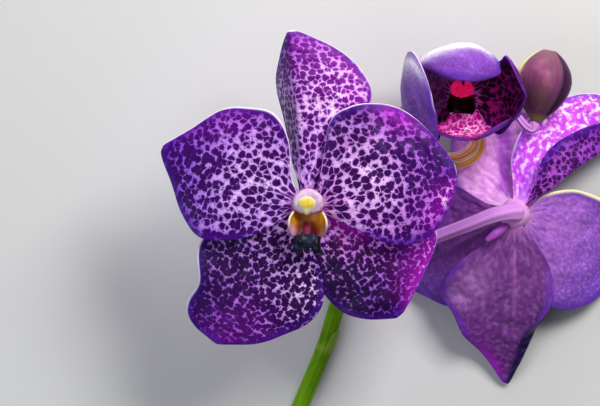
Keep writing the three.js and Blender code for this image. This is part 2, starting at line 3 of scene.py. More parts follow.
import bpy
import numpy as np
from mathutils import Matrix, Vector


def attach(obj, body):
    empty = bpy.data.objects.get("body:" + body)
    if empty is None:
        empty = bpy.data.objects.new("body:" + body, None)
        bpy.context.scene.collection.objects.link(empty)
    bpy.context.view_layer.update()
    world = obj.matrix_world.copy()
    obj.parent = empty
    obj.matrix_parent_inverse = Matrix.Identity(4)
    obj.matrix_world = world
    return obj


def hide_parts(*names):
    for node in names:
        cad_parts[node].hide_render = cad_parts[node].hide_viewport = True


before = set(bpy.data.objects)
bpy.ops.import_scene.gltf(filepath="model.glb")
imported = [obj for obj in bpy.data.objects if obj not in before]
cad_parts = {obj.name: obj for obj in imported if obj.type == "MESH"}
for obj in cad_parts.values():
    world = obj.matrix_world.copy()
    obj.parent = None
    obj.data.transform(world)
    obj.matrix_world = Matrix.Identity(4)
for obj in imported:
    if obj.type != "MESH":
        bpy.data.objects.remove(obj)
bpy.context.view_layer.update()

print("frame loaded:", len(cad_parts), "nodes")

# The blooms are drawn in millimetres round the hub of the front bloom, as the part is
mm = 0.001
boxCentre = np.array([31.5, -36.6, 0.0])  # the middle of the part's box in the drawing
up = np.array([0.0, 0.0, 1.0])


# Shapes: what all the surfaces are made with

# A cubic between each pair of stations; its slope at a station is that of the line between the
# station's two neighbours
def smoothCurve(at, values, x):
    at, values, x = np.asarray(at, float), np.asarray(values, float), np.asarray(x, float)
    last = len(at) - 1
    before = np.maximum(np.arange(last + 1) - 1, 0)
    after = np.minimum(np.arange(last + 1) + 1, last)
    rise = values[after] - values[before]
    run = at[after] - at[before]
    slope = rise / (run[:, None] if values.ndim == 2 else run)
    i = np.clip(np.searchsorted(at, x, side="right") - 1, 0, last - 1)
    span = at[i + 1] - at[i]
    t = (x - at[i]) / span
    if values.ndim == 2:
        span, t = span[:, None], t[:, None]
    start = (1 + 2 * t) * (1 - t) ** 2 * values[i] + t * (1 - t) ** 2 * span * slope[i]
    end = t * t * (3 - 2 * t) * values[i + 1] + t * t * (t - 1) * span * slope[i + 1]
    return start + end


# From 0 at low to 1 at high, along three times the square less twice the cube of the share between
def smoothStep(low, high, x):
    t = np.clip((x - low) / (high - low), 0, 1)
    return t * t * (3 - 2 * t)


# Vectors drawn out or in to a length of 1
def unit(vectors):
    return vectors / np.maximum(np.linalg.norm(vectors, axis=-1, keepdims=True), 1e-9)


# Numbers side by side for each point of a grid; each may be a grid, a row, a column or one number
def together(*values):
    return np.stack(np.broadcast_arrays(*values), -1)


# A gentle random swell: the sum of sine waves in random directions, each about one unit long, over
# the root of their number
def swell(x, y, seed, count=9):
    random = np.random.default_rng(seed)
    total = np.zeros(np.broadcast(x, y).shape)
    for turn, phase, pitch in random.uniform([0, 0, 0.6], [pi, 2 * pi, 1.6], (count, 3)):
        total += np.sin(2 * pi * pitch * (x * cos(turn) + y * sin(turn)) + phase)
    return total / count**0.5


# Square faces of a grid of points that are numbered row by row
def gridFaces(numbers, wrap=False):
    right = np.roll(numbers, -1, axis=1) if wrap else numbers[:, 1:]
    left = numbers if wrap else numbers[:, :-1]
    return np.stack([left[:-1], left[1:], right[1:], right[:-1]], -1).reshape(-1, 4)


# A surface with a thickness: the grid is moved along its normals to both sides by half of it, and
# the two sides share the points of the margin
def thickSurface(grid, halfThickness, values):
    normals = unit(np.cross(np.gradient(grid, axis=0), np.gradient(grid, axis=1)))
    offset = normals * halfThickness[..., None]
    rows, columns = grid.shape[:2]
    inner = (slice(1, -1), slice(1, -1))
    backCount = (rows - 2) * (columns - 2)
    faceNumbers = np.arange(rows * columns).reshape(rows, columns)
    backNumbers = faceNumbers.copy()
    backNumbers[inner] = rows * columns + np.arange(backCount).reshape(rows - 2, columns - 2)
    points = np.concatenate([(grid + offset).reshape(-1, 3), (grid - offset)[inner].reshape(-1, 3)])
    faces = [gridFaces(faceNumbers), gridFaces(backNumbers)[:, ::-1]]
    kept = {}
    for name, value in values.items():
        size = value.shape[2:]
        kept[name] = np.concatenate([value.reshape(-1, *size), value[inner].reshape(-1, *size)])
    kept["side"] = np.concatenate([np.ones(rows * columns), np.zeros(backCount)])
    return {"points": points, "faces": faces, "values": kept}


# A closed tube through rings of points, each ring turning right-handed about the way ahead, with a
# pole in the middle of each end
def tubeSurface(rings, values):
    count, sides = rings.shape[:2]
    numbers = np.arange(count * sides).reshape(count, sides)
    points = np.concatenate([rings.reshape(-1, 3), rings[:1].mean(1), rings[-1:].mean(1)])
    ends = []
    for row, pole, order in ((numbers[0], count * sides, 1), (numbers[-1], count * sides + 1, -1)):
        fan = np.stack([np.full(sides, pole), np.roll(row, -1), row], -1)
        ends.append(fan[:, ::order])
    kept = {}
    for name, value in values.items():
        rows = value.reshape(count * sides, *value.shape[2:])
        kept[name] = np.concatenate([rows, value[:1].mean(1), value[-1:].mean(1)])
    return {"points": points, "faces": [gridFaces(numbers, True)[:, ::-1], *ends], "values": kept}


# Several surfaces as one, with the values that all of them have
def joined(surfaces):
    starts = np.cumsum([0] + [len(each["points"]) for each in surfaces[:-1]])
    faces = [face + start for each, start in zip(surfaces, starts) for face in each["faces"]]
    points = np.concatenate([each["points"] for each in surfaces])
    shared = [name for name in surfaces[0]["values"] if all(name in each["values"] for each in surfaces)]
    values = {name: np.concatenate([each["values"][name] for each in surfaces]) for name in shared}
    return {"points": points, "faces": faces, "values": values}


# The values of a tube at the corners of its faces: the share of the way round, which is the second
# value, runs on to 1 where a ring closes
def closedShares(tube, corners, sizes):
    kept = tube[corners]
    largest = np.maximum.reduceat(kept[:, 1], np.cumsum(sizes) - sizes)
    kept[:, 1] += np.repeat(largest, sizes) - kept[:, 1] > 0.5
    return kept


# A piece of the model: its mesh in metres, its values as named attributes, its material and the
# node that it stands for
def addPiece(name, surface, material, node):
    points = (surface["points"] - boxCentre) * mm
    corners = np.concatenate([face.ravel() for face in surface["faces"]])
    sizes = np.concatenate([np.full(len(face), face.shape[1]) for face in surface["faces"]])
    mesh = bpy.data.meshes.new(name)
    mesh.vertices.add(len(points))
    mesh.vertices.foreach_set("co", points.ravel())
    mesh.loops.add(len(corners))
    mesh.loops.foreach_set("vertex_index", corners)
    mesh.polygons.add(len(sizes))
    mesh.polygons.foreach_set("loop_start", np.cumsum(sizes) - sizes)
    mesh.polygons.foreach_set("use_smooth", np.ones(len(sizes), bool))
    mesh.update(calc_edges=True)
    for key, value in surface["values"].items():
        kind, field = ("FLOAT", "value") if value.ndim == 1 else ("FLOAT_VECTOR", "vector")
        domain = "POINT"
        if key == "tube":
            domain, value = "CORNER", closedShares(value, corners, sizes)
        numbers = value.astype(np.float32).ravel()
        mesh.attributes.new(key, kind, domain).data.foreach_set(field, numbers)
    mesh.materials.append(material)
    piece = bpy.data.objects.new(name, mesh)
    bpy.context.scene.collection.objects.link(piece)
    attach(piece, "root")
    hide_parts(node)


# Materials: small helpers that add a node and join it to its inputs

# A colour code as linear red, green and blue, and a full alpha
def linear(code):
    channels = np.array([int(code[i:i + 2], 16) for i in (1, 3, 5)]) / 255
    low = channels <= 0.04045
    return (*np.where(low, channels / 12.92, ((channels + 0.055) / 1.055) ** 2.4), 1.0)


# A node with its settings, and its inputs: a link from a socket, a colour code or a plain value
def newNode(tree, kind, settings=None, inputs=None):
    node = tree.nodes.new(kind)
    for name, value in (settings or {}).items():
        setattr(node, name, value)
    for name, value in (inputs or {}).items():
        if isinstance(value, bpy.types.NodeSocket):
            tree.links.new(value, node.inputs[name])
        else:
            node.inputs[name].default_value = linear(value) if isinstance(value, str) else value
    return node


# A sum, a product or another operation
def maths(tree, operation, *values):
    return newNode(tree, "ShaderNodeMath", {"operation": operation}, dict(enumerate(values))).outputs[0]


# A value's smooth change from lowest, where it is low, to highest, where it is high
def spread(tree, value, low, high, lowest=0.0, highest=1.0):
    inputs = {"Value": value, "From Min": low, "From Max": high, "To Min": lowest, "To Max": highest}
    return newNode(tree, "ShaderNodeMapRange", {"interpolation_type": "SMOOTHSTEP"}, inputs).outputs[0]


# The first colour, with as much of the second as the share says
def blended(tree, share, first, second, mode="MIX"):
    settings = {"data_type": "RGBA", "blend_type": mode}
    return newNode(tree, "ShaderNodeMix", settings, {0: share, 6: first, 7: second}).outputs[2]


# A colour under layers of others, each a mask, a factor for it if there is one, and a colour. Colours
# are names in the look, or sockets
def layered(tree, look, colour, *layers):
    colour = look.get(colour, colour)
    for mask, *factor, second in layers:
        share = maths(tree, "MULTIPLY", mask, *factor) if factor else mask
        colour = blended(tree, share, colour, look.get(second, second))
    return colour


def attribute(tree, name, output="Vector"):
    return newNode(tree, "ShaderNodeAttribute", {"attribute_name": name}).outputs[output]


# The three numbers of an attribute
def parts(tree, name):
    return newNode(tree, "ShaderNodeSeparateXYZ", None, {0: attribute(tree, name)}).outputs


# Smooth random values from 0 to 1; the larger the scale, the finer they are
def noise(tree, vector, scale, detail=2.0, output="Fac"):
    inputs = {"Vector": vector, "Scale": scale, "Detail": detail}
    return newNode(tree, "ShaderNodeTexNoise", None, inputs).outputs[output]


# The same, from half below 0 to half above it
def noiseAboutZero(tree, vector, scale, detail=2.0):
    return maths(tree, "SUBTRACT", noise(tree, vector, scale, detail), 0.5)


# Fine streaks along a tube: noise in the plane of the way round it, times fine, and the way along
def streaks(tree, around, fine, along, apart=0.0):
    place = {0: maths(tree, "MULTIPLY", around, fine), 1: along, 2: apart}
    return noise(tree, newNode(tree, "ShaderNodeCombineXYZ", None, place).outputs[0], 1.0)


# An empty node group with its sockets
def newGroup(name, inputs, outputs):
    tree = bpy.data.node_groups.new(name, "ShaderNodeTree")
    for label, kind in inputs:
        tree.interface.new_socket(label, in_out="INPUT", socket_type="NodeSocket" + kind)
    for label, kind in outputs:
        tree.interface.new_socket(label, in_out="OUTPUT", socket_type="NodeSocket" + kind)
    return tree, tree.nodes.new("NodeGroupInput").outputs, tree.nodes.new("NodeGroupOutput").inputs


def placedGroup(tree, group, inputs):
    return newNode(tree, "ShaderNodeGroup", {"node_tree": group}, inputs).outputs


# A material, its tree, and its shader with the given constants
def newMaterial(name, values):
    material = bpy.data.materials.new(name)
    material.use_nodes = True
    tree = material.node_tree
    shader = tree.nodes["Principled BSDF"]
    for label, value in values.items():
        shader.inputs[label].default_value = value
    return material, tree, shader


# The last links of a skin: its colour, which it also gives off as a painted glow where it is luminous,
# its gloss, and a fine relief
def finishSkin(tree, shader, colour, height, strength, depth=0.0001, roughness=None):
    tree.links.new(colour, shader.inputs["Base Color"])
    if shader.inputs["Emission Strength"].default_value:
        tree.links.new(colour, shader.inputs["Emission Color"])
    if roughness is not None:
        tree.links.new(roughness, shader.inputs["Roughness"])
    relief = {"Strength": strength, "Distance": depth, "Height": height}
    tree.links.new(newNode(tree, "ShaderNodeBump", None, relief).outputs[0], shader.inputs["Normal"])


# The net of spots: how far its cells are bent, as (scale, size) of each noise, how far chance moves
# each cell's gap and reach, and what rounds, breaks and frays the spots. Lengths are in cells
spotNet = {
    "bends": ((0.7, 0.8), (2.4, 0.34)), "randomness": 0.82, "gapVaries": 0.09, "reachVaries": 0.26,
    "rounding": 0.14, "clumpScale": 0.4, "breakScale": 1.5, "breaks": (-3.0, 0.36),
    "fraySize": 0.1, "frayScale": 7.0, "edge": 0.03, "halo": (-0.4, 0.02),
    "dotScale": 2.6, "dotFade": (0.4, 0.26), "dotChance": (0.6, 0.65),
}


# Dark spots on a pale ground: warped cells, each cut back from its edges by Gap and rounded off at
# Reach from its middle, with a slow noise times Clump added, a finer one that breaks up narrow gaps,
# and small dots in the wide places
def spotNetGroup():
    inputs = [("Place", "Vector"), *((label, "Float") for label in ("Gap", "Reach", "Clump", "Dots"))]
    outputs = [(label, "Float") for label in ("Spot", "Halo", "Chance")]
    tree, source, result = newGroup("Spot net", inputs, outputs)
    place = source["Place"]
    warped = place
    for scale, size in spotNet["bends"]:
        sway = noise(tree, place, scale, 1.0, "Color")
        aboutZero = {0: sway, 1: (0.5, 0.5, 0.5)}
        shift = newNode(tree, "ShaderNodeVectorMath", {"operation": "SUBTRACT"}, aboutZero)
        moved = {0: shift.outputs[0], 1: (size, size, size), 2: warped}
        warped = newNode(tree, "ShaderNodeVectorMath", {"operation": "MULTIPLY_ADD"}, moved).outputs[0]

    flat = {"voronoi_dimensions": "2D"}
    toEdge = {**flat, "feature": "DISTANCE_TO_EDGE"}
    cells = {"Vector": warped, "Scale": 1.0, "Randomness": spotNet["randomness"]}
    edge = newNode(tree, "ShaderNodeTexVoronoi", toEdge, cells).outputs["Distance"]
    cell = newNode(tree, "ShaderNodeTexVoronoi", flat, cells).outputs
    chance = newNode(tree, "ShaderNodeSeparateColor", None, {0: cell["Color"]}).outputs[0]
    varies = spotNet["gapVaries"]
    gap = maths(tree, "MULTIPLY_ADD", chance, varies, maths(tree, "SUBTRACT", source["Gap"], varies / 2))
    varies = spotNet["reachVaries"]
    reach = maths(tree, "MULTIPLY_ADD", chance, -varies, maths(tree, "ADD", source["Reach"], varies / 2))

    inside = maths(tree, "SUBTRACT", edge, gap)
    rounded = maths(tree, "SUBTRACT", reach, cell["Distance"])
    inside = maths(tree, "SMOOTH_MIN", inside, rounded, spotNet["rounding"])
    patch = noiseAboutZero(tree, place, spotNet["clumpScale"], 1.0)
    inside = maths(tree, "MULTIPLY_ADD", patch, source["Clump"], inside)
    broken = noiseAboutZero(tree, place, spotNet["breakScale"])
    amount = maths(tree, "MULTIPLY_ADD", source["Gap"], *spotNet["breaks"])
    inside = maths(tree, "MULTIPLY_ADD", broken, amount, inside)
    frayed = noiseAboutZero(tree, place, spotNet["frayScale"])
    inside = maths(tree, "MULTIPLY_ADD", frayed, spotNet["fraySize"], inside)
    spot = spread(tree, inside, -spotNet["edge"], spotNet["edge"])

    small = {"Vector": warped, "Scale": spotNet["dotScale"], "Randomness": 1.0}
    speck = newNode(tree, "ShaderNodeTexVoronoi", flat, small).outputs
    often = newNode(tree, "ShaderNodeSeparateColor", None, {0: speck["Color"]}).outputs[1]
    dot = spread(tree, speck["Distance"], *spotNet["dotFade"])
    dot = maths(tree, "MULTIPLY", dot, spread(tree, often, *spotNet["dotChance"]))
    dot = maths(tree, "MULTIPLY", dot, source["Dots"])
    tree.links.new(maths(tree, "MAXIMUM", spot, dot), result["Spot"])
    tree.links.new(spread(tree, inside, *spotNet["halo"]), result["Halo"])
    tree.links.new(chance, result["Chance"])
    return tree


# The relief of a petal's skin: the heights of its veins and cells, and the scales of its cells and sheen
petalSkin = {"veinHigh": 0.7, "cellHigh": 0.22, "cellScale": 2600.0, "sheenScale": 420.0}


# The skin of a petal: fine ridges along the veins, tiny cells, and an uneven sheen
def petalSkinGroup():
    inputs = [("Fan", "Vector"), ("Place", "Vector")]
    outputs = [(label, "Float") for label in ("Height", "Vein", "Sheen")]
    tree, source, result = newGroup("Petal skin", inputs, outputs)
    vein = spread(tree, noise(tree, source["Fan"], 1.0), 0.35, 0.65)
    cells = {"Vector": source["Place"], "Scale": petalSkin["cellScale"], "Randomness": 1.0}
    cell = newNode(tree, "ShaderNodeTexVoronoi", None, cells).outputs["Distance"]
    sunk = maths(tree, "MULTIPLY", cell, -petalSkin["cellHigh"])
    tree.links.new(maths(tree, "MULTIPLY_ADD", vein, petalSkin["veinHigh"], sunk), result["Height"])
    tree.links.new(vein, result["Vein"])
    tree.links.new(noise(tree, source["Place"], petalSkin["sheenScale"], 3.0), result["Sheen"])
    return tree


groups = {"spotNet": spotNetGroup(), "petalSkin": petalSkinGroup()}


# The place in the piece's own metres
def objectPlace(tree):
    return newNode(tree, "ShaderNodeTexCoord").outputs["Object"]


# What all the skins have in common
tissue = {
    "Subsurface Weight": 0.08,
    "Subsurface Radius": (1.0, 0.35, 0.9),
    "Subsurface Scale": 0.0004,
    "Specular IOR Level": 0.1,
}

# What a sepal or petal looks like where its own values say nothing else. Gap and reach are shares of
# a cell of the spot pattern, from the base of the blade to its tip, and marginWidth is in millimetres.
# FleckSize scales the flecks of the back, and backHighlight is the colour of a painted highlight on its
# palest places. ShadeAmount says how far the painted shade covers the face, and luminous how much of
# its own colour the skin gives off, a painted glow that stands for light shining through it. Glow and
# glowSpot are the colours of painted glow, shade of painted shade, and rim of a painted highlight
plainLook = {
    "groundNear": "#e8b8fa", "groundFar": "#8238c0", "halo": "#7a2cb8", "pale": "#ffdcff",
    "spotNear": "#3a0456", "spotFar": "#2e0458", "margin": "#480e96", "marginWidth": 4.0,
    "gap": (0.07, 0.03), "reach": (0.4, 0.46), "clump": 0.38, "dots": 0.85, "glow": "#d41ee8",
    "glowSpot": "#6a0890", "shade": "#241a3c", "rim": "#f6e6fb", "base": "#cc6ad0", "baseSpot": "#4e0848",
    "backNear": "#d8a0e8", "backFar": "#8444c4", "backPale": "#cfa4ec", "backSpot": 0.5,
    "backMargin": "#5a2aa8", "backBase": "#e8bcea", "midrib": "#b070b8", "fleckSize": 1.0,
    "backHighlight": "#f2eafa", "shadeAmount": 0.6, "luminous": 0.05,
}


# The skin of a sepal or petal. Its surface's attributes give the pattern's place, how far along,
# from the margin and from the base a place is, and where it is lit, shaded, dense or pale
def tepalMaterial(name, changes):
    look = {**plainLook, **changes}
    material, tree, shader = newMaterial(name, {**tissue, "Emission Strength": look["luminous"]})
    spotPlace = attribute(tree, "spotPlace")
    share, marginMm, distance = parts(tree, "bladeShare")
    glow, shade, rim = parts(tree, "bladeLight")
    dense, pale, across = parts(tree, "bladeTone")
    side = attribute(tree, "side", "Fac")
    far = spread(tree, share, 0.3, 1.0)
    near = spread(tree, distance, 8.0, 3.0)
    band = spread(tree, marginMm, look["marginWidth"], 0.2 * look["marginWidth"])
    band = maths(tree, "MULTIPLY", band, spread(tree, share, 0.2, 0.5))

    # where the blade is dense, and along its margin, the gaps narrow and the spots reach further
    more = maths(tree, "MAXIMUM", dense, maths(tree, "MULTIPLY", band, 0.8))
    gap = maths(tree, "MULTIPLY_ADD", more, -0.14, spread(tree, share, 0.15, 0.95, *look["gap"]))
    reach = maths(tree, "MULTIPLY_ADD", more, 0.1, spread(tree, share, 0.15, 0.95, *look["reach"]))
    net = {"Place": spotPlace, "Gap": gap, "Reach": reach, "Clump": look["clump"], "Dots": look["dots"]}
    spot, halo, chance = placedGroup(tree, groups["spotNet"], net)
    places = {"Fan": attribute(tree, "fanPlace"), "Place": objectPlace(tree)}
    skin = placedGroup(tree, groups["petalSkin"], places)

    # the face: a mottled ground under the spots, then painted shade and painted glow
    mottle = spread(tree, noise(tree, spotPlace, 1.6, 3.0), 0.36, 0.7, 0.0, 0.5)
    clear = maths(tree, "SUBTRACT", 1.0, maths(tree, "MULTIPLY", halo, 0.6))
    ground = layered(
        tree, look, "groundNear", (far, "groundFar"), (halo, 0.55, "halo"), (mottle, "halo"),
        (glow, 0.7, "glow"), (near, 0.6, "base"), (band, 0.82, "margin"), (pale, clear, "pale"),
    )
    dark = layered(
        tree, look, "spotNear", (far, "spotFar"), (glow, 0.8, "glowSpot"), (near, 0.8, "baseSpot"),
        (spread(tree, chance, 0.5, 1.0, 0.0, 0.2), "margin"), (band, 0.45, "margin"),
    )
    shadow = maths(tree, "MULTIPLY", shade, spread(tree, across, 0.0, 0.12, 1.0, 0.8))
    face = layered(tree, look, ground, (spot, dark), (shadow, look["shadeAmount"], "shade"))
    face = blended(tree, maths(tree, "MULTIPLY", glow, 0.2), face, look["glow"], "SCREEN")

    # the back: soft flecks instead of spots, a midrib, and painted highlights, glow and shade
    flecks = noise(tree, spotPlace, 1.7 / look["fleckSize"], 3.0)
    back = layered(
        tree, look, "backNear", (far, "backFar"),
        (spread(tree, flecks, 0.6, 0.4, 0.0, look["backSpot"] * 0.6), "backFar"),
        (spread(tree, flecks, 0.46, 0.68, 0.0, look["backSpot"]), "backPale"),
        (halo, 0.14, "spotFar"), (spread(tree, skin["Vein"], 0.4, 1.0, 0.0, 0.1), "spotFar"),
        (pale, spread(tree, flecks, 0.25, 0.6, 0.5, 1.0), "backHighlight"),
        (spread(tree, across, 0.07, 0.0), spread(tree, share, 0.8, 0.2, 0.0, 0.5), "midrib"),
        (near, 0.7, "backBase"), (band, 0.7, "backMargin"), (glow, 0.7, "glow"), (shade, 0.75, "shade"),
    )

    # rim lays a painted highlight along the margins that face the light
    colour = layered(tree, look, back, (side, face), (rim, "rim"))
    sheen = spread(tree, skin["Sheen"], 0.3, 0.7, 0.36, 0.52)
    finishSkin(tree, shader, colour, skin["Height"], 0.35, 0.00012, sheen)
    return material


print("material helpers ready")


# Sepals and petals: each starts at foot from the bloom's axis, at its angle round it. Rise is the
# climb of its midrib towards the face, left and right are half-widths at the stations. Lean is the
# tilt of each half at the midrib, and turn what it gains on the way to the margin, all of it at the
# share of the half-width that fold gives, unless that is 0. Sweep turns the midrib aside. The rim is
# a painted highlight, rimWidth wide, on the margins that look the way rimFrom points, the way its
# light comes from. GlowAt places painted glow of light shining through the blade, shadeAt painted
# shade. Angles are in degrees, lengths in millimetres

stations = np.array([0, 0.1, 0.22, 0.38, 0.55, 0.72, 0.87, 1])
thirds = np.linspace(0, 1, 4)

plainBlade = {
    "foot": 3.5, "height": 0, "sweep": [0, 0, 0, 0],
    "leanLeft": [0, 0, 0, 0], "leanRight": [0, 0, 0, 0], "turnLeft": [0, 0, 0, 0], "turnRight": [0, 0, 0, 0],
    "foldLeft": 0, "foldRight": 0,
    "wave": [0, 2, 0, 0.3],  # high, count, phase on the left, phase on the right
    "spotSize": 2.7, "seed": 0, "rows": 120, "columns": 40, "rimWidth": 0.45, "rimFrom": [0.35, 0.9, 0.1],
    "glowAt": [], "shadeAt": [], "denseAt": [], "paleAt": [],  # (share along, share across, spread, strength)
    "look": {},
}

# The thickness of a blade over most of it and at its base, how its margin and its tip are rounded,
# and how wide a fold's crease is, as a share of the half-width
bladeEdge = {"thick": 0.75, "base": 1.5, "round": 0.5, "tip": 0.3, "bluntness": 10, "crease": 0.3}

# The swells of a blade: the height, the length in millimetres and the number in a radian of each
# kind, how far from the base they begin, and how high they are at the margin and how wide that is
bladeRelief = {"swells": ((1, 9, 2.2), (0.5, 4, 5)), "base": (2, 9), "atMargin": 0.35, "marginWide": 4}

# The pattern starts before the base of a blade, and is drawn out near it and far from it. The veins
# are finer across the blade than along it
bladePattern = {
    "before": 2.0, "near": 3.0, "nearReach": 12, "far": 4.0, "seedStep": 7.3, "veins": 16,
    "veinStretch": 0.09,
}

frontBlades = {
    "dorsal_sepal": {
        "angle": 96, "length": 54, "foot": 3.4, "height": -0.5, "rise": [0, 4, 0, -10],
        "left": [2, 2.6, 5.5, 11.5, 16.5, 16.5, 9.5, 4], "right": [2, 5.5, 10.5, 17.5, 24.5, 22.5, 17, 8],
        "leanLeft": [-15, -60, -62, -52], "turnLeft": [0, -12, -16, -10], "leanRight": [0, -4, -6, -8],
        "turnRight": [0, -6, -10, -14], "wave": [0.5, 2, 0.2, 0.1], "seed": 3, "spotSize": 2.4,
        "glowAt": [(0.85, -0.5, 0.4, 0.7), (0.5, -0.9, 0.25, 0.7)], "rimWidth": 0.7,
        "shadeAt": [(0.7, 0.2, 0.3, 0.3)], "paleAt": [(0.6, -0.5, 0.25, 1.0), (0.6, 0.6, 0.25, 0.5)],
        "denseAt": [(0.95, -0.1, 0.2, 0.7)],
        "look": {"glow": "#c81ee4", "glowSpot": "#5c047c", "shade": "#2a0c44"},
    },
    "left_petal": {
        "angle": 158, "length": 47.5, "height": 1.6, "rise": [14, 5, -3, -10],
        "left": [2.5, 9, 15.5, 20, 21.8, 17, 9.5, 5], "right": [2.5, 6, 17, 23.3, 22.3, 19, 10.5, 4],
        "turnLeft": [0, -6, -12, -14], "turnRight": [0, 6, -8, -16], "wave": [0.7, 2.2, 0.1, 0.45],
        "seed": 5, "glowAt": [(0.6, -1.0, 0.3, 0.25)], "denseAt": [(0.85, 0.2, 0.35, 1.0)],
        "paleAt": [(0.35, -0.1, 0.25, 0.4)], "rimWidth": 0.8, "spotSize": 2.5,
        "look": {"halo": "#6c2cc0"},
    },
    "right_petal": {
        "angle": 14, "length": 46, "height": 1.6, "rise": [14, 6, -2, -12],
        "left": [2.5, 12.5, 24.5, 27.7, 27, 24, 17.5, 8], "right": [2.5, 6, 10.5, 16.5, 19.5, 18.5, 14, 8],
        "turnLeft": [0, 4, -10, -16], "turnRight": [0, -8, -14, -14], "wave": [0.8, 2.4, 0.3, 0.6],
        "seed": 8, "glowAt": [(0.7, 1.0, 0.15, 0.9), (0.92, -0.7, 0.2, 1.0)],
        "denseAt": [(0.9, 0.2, 0.38, 1.0)], "paleAt": [(0.4, 0.1, 0.2, 0.6), (0.9, -0.6, 0.12, 0.9)],
        "shadeAt": [(0.4, 0.9, 0.2, 0.3)],
        "look": {"halo": "#962cb8", "glow": "#d41ee0"},
    },
    "left_sepal": {
        "angle": -125, "length": 50.5, "foot": 3.6, "height": -0.5, "rise": [-8, -5, -8, -14],
        "left": [1.6, 5, 15, 21.5, 21.5, 17, 12, 5], "right": [2.5, 9, 17, 21.5, 21.5, 15.5, 16.5, 19],
        "turnLeft": [0, -6, -12, -16], "turnRight": [0, 6, 20, 10], "wave": [1.3, 2.6, 0.1, 0.5],
        "seed": 13, "glowAt": [(1.0, 0.3, 0.35, 0.3)], "shadeAt": [(0.6, -0.9, 0.4, 0.6)],
        "paleAt": [(0.42, 0.75, 0.2, 0.75)], "spotSize": 1.9, "rimFrom": [-0.8, 0.6, 0.1], "rimWidth": 0.8,
        "look": {"gap": (-0.02, -0.14), "reach": (0.5, 0.6), "spotNear": "#2a0440", "spotFar": "#280850",
                 "groundFar": "#9050c8", "rim": "#cfc8e6"},
    },
    # Its glow near the base and its luminous skin are painted light that lifts the shade cast by the petal
    # above
    "right_sepal": {
        "angle": -50, "length": 43, "foot": 3.6, "height": -0.6, "rise": [-13, -5, -6, -12],
        "left": [2.5, 8, 14, 20, 25, 26.5, 18, 7], "right": [1.4, 3.8, 9.5, 13.5, 14.6, 13.7, 9.8, 4],
        "turnLeft": [0, -6, -12, -16], "turnRight": [0, -24, -30, -20], "wave": [1.1, 2.4, 0.6, 0.2],
        "seed": 21, "shadeAt": [(0.45, -0.6, 0.4, 0.85)], "denseAt": [(0.55, -0.6, 0.3, 0.8)],
        "glowAt": [(0.18, 0.5, 0.2, 1.0), (0.85, 0.95, 0.25, 1.0)], "spotSize": 1.8,
        "paleAt": [(0.8, 0.9, 0.12, 0.7), (0.2, 0.3, 0.12, 0.6)],
        "look": {"gap": (-0.01, -0.15), "reach": (0.5, 0.6), "spotNear": "#200430", "spotFar": "#1c0436",
                 "groundNear": "#f0a4f4", "groundFar": "#6c3cac", "pale": "#fcc8fc", "glow": "#dc2ce0",
                 "glowSpot": "#880c98", "base": "#e86adc", "baseSpot": "#740c68", "luminous": 0.22},
    },
}

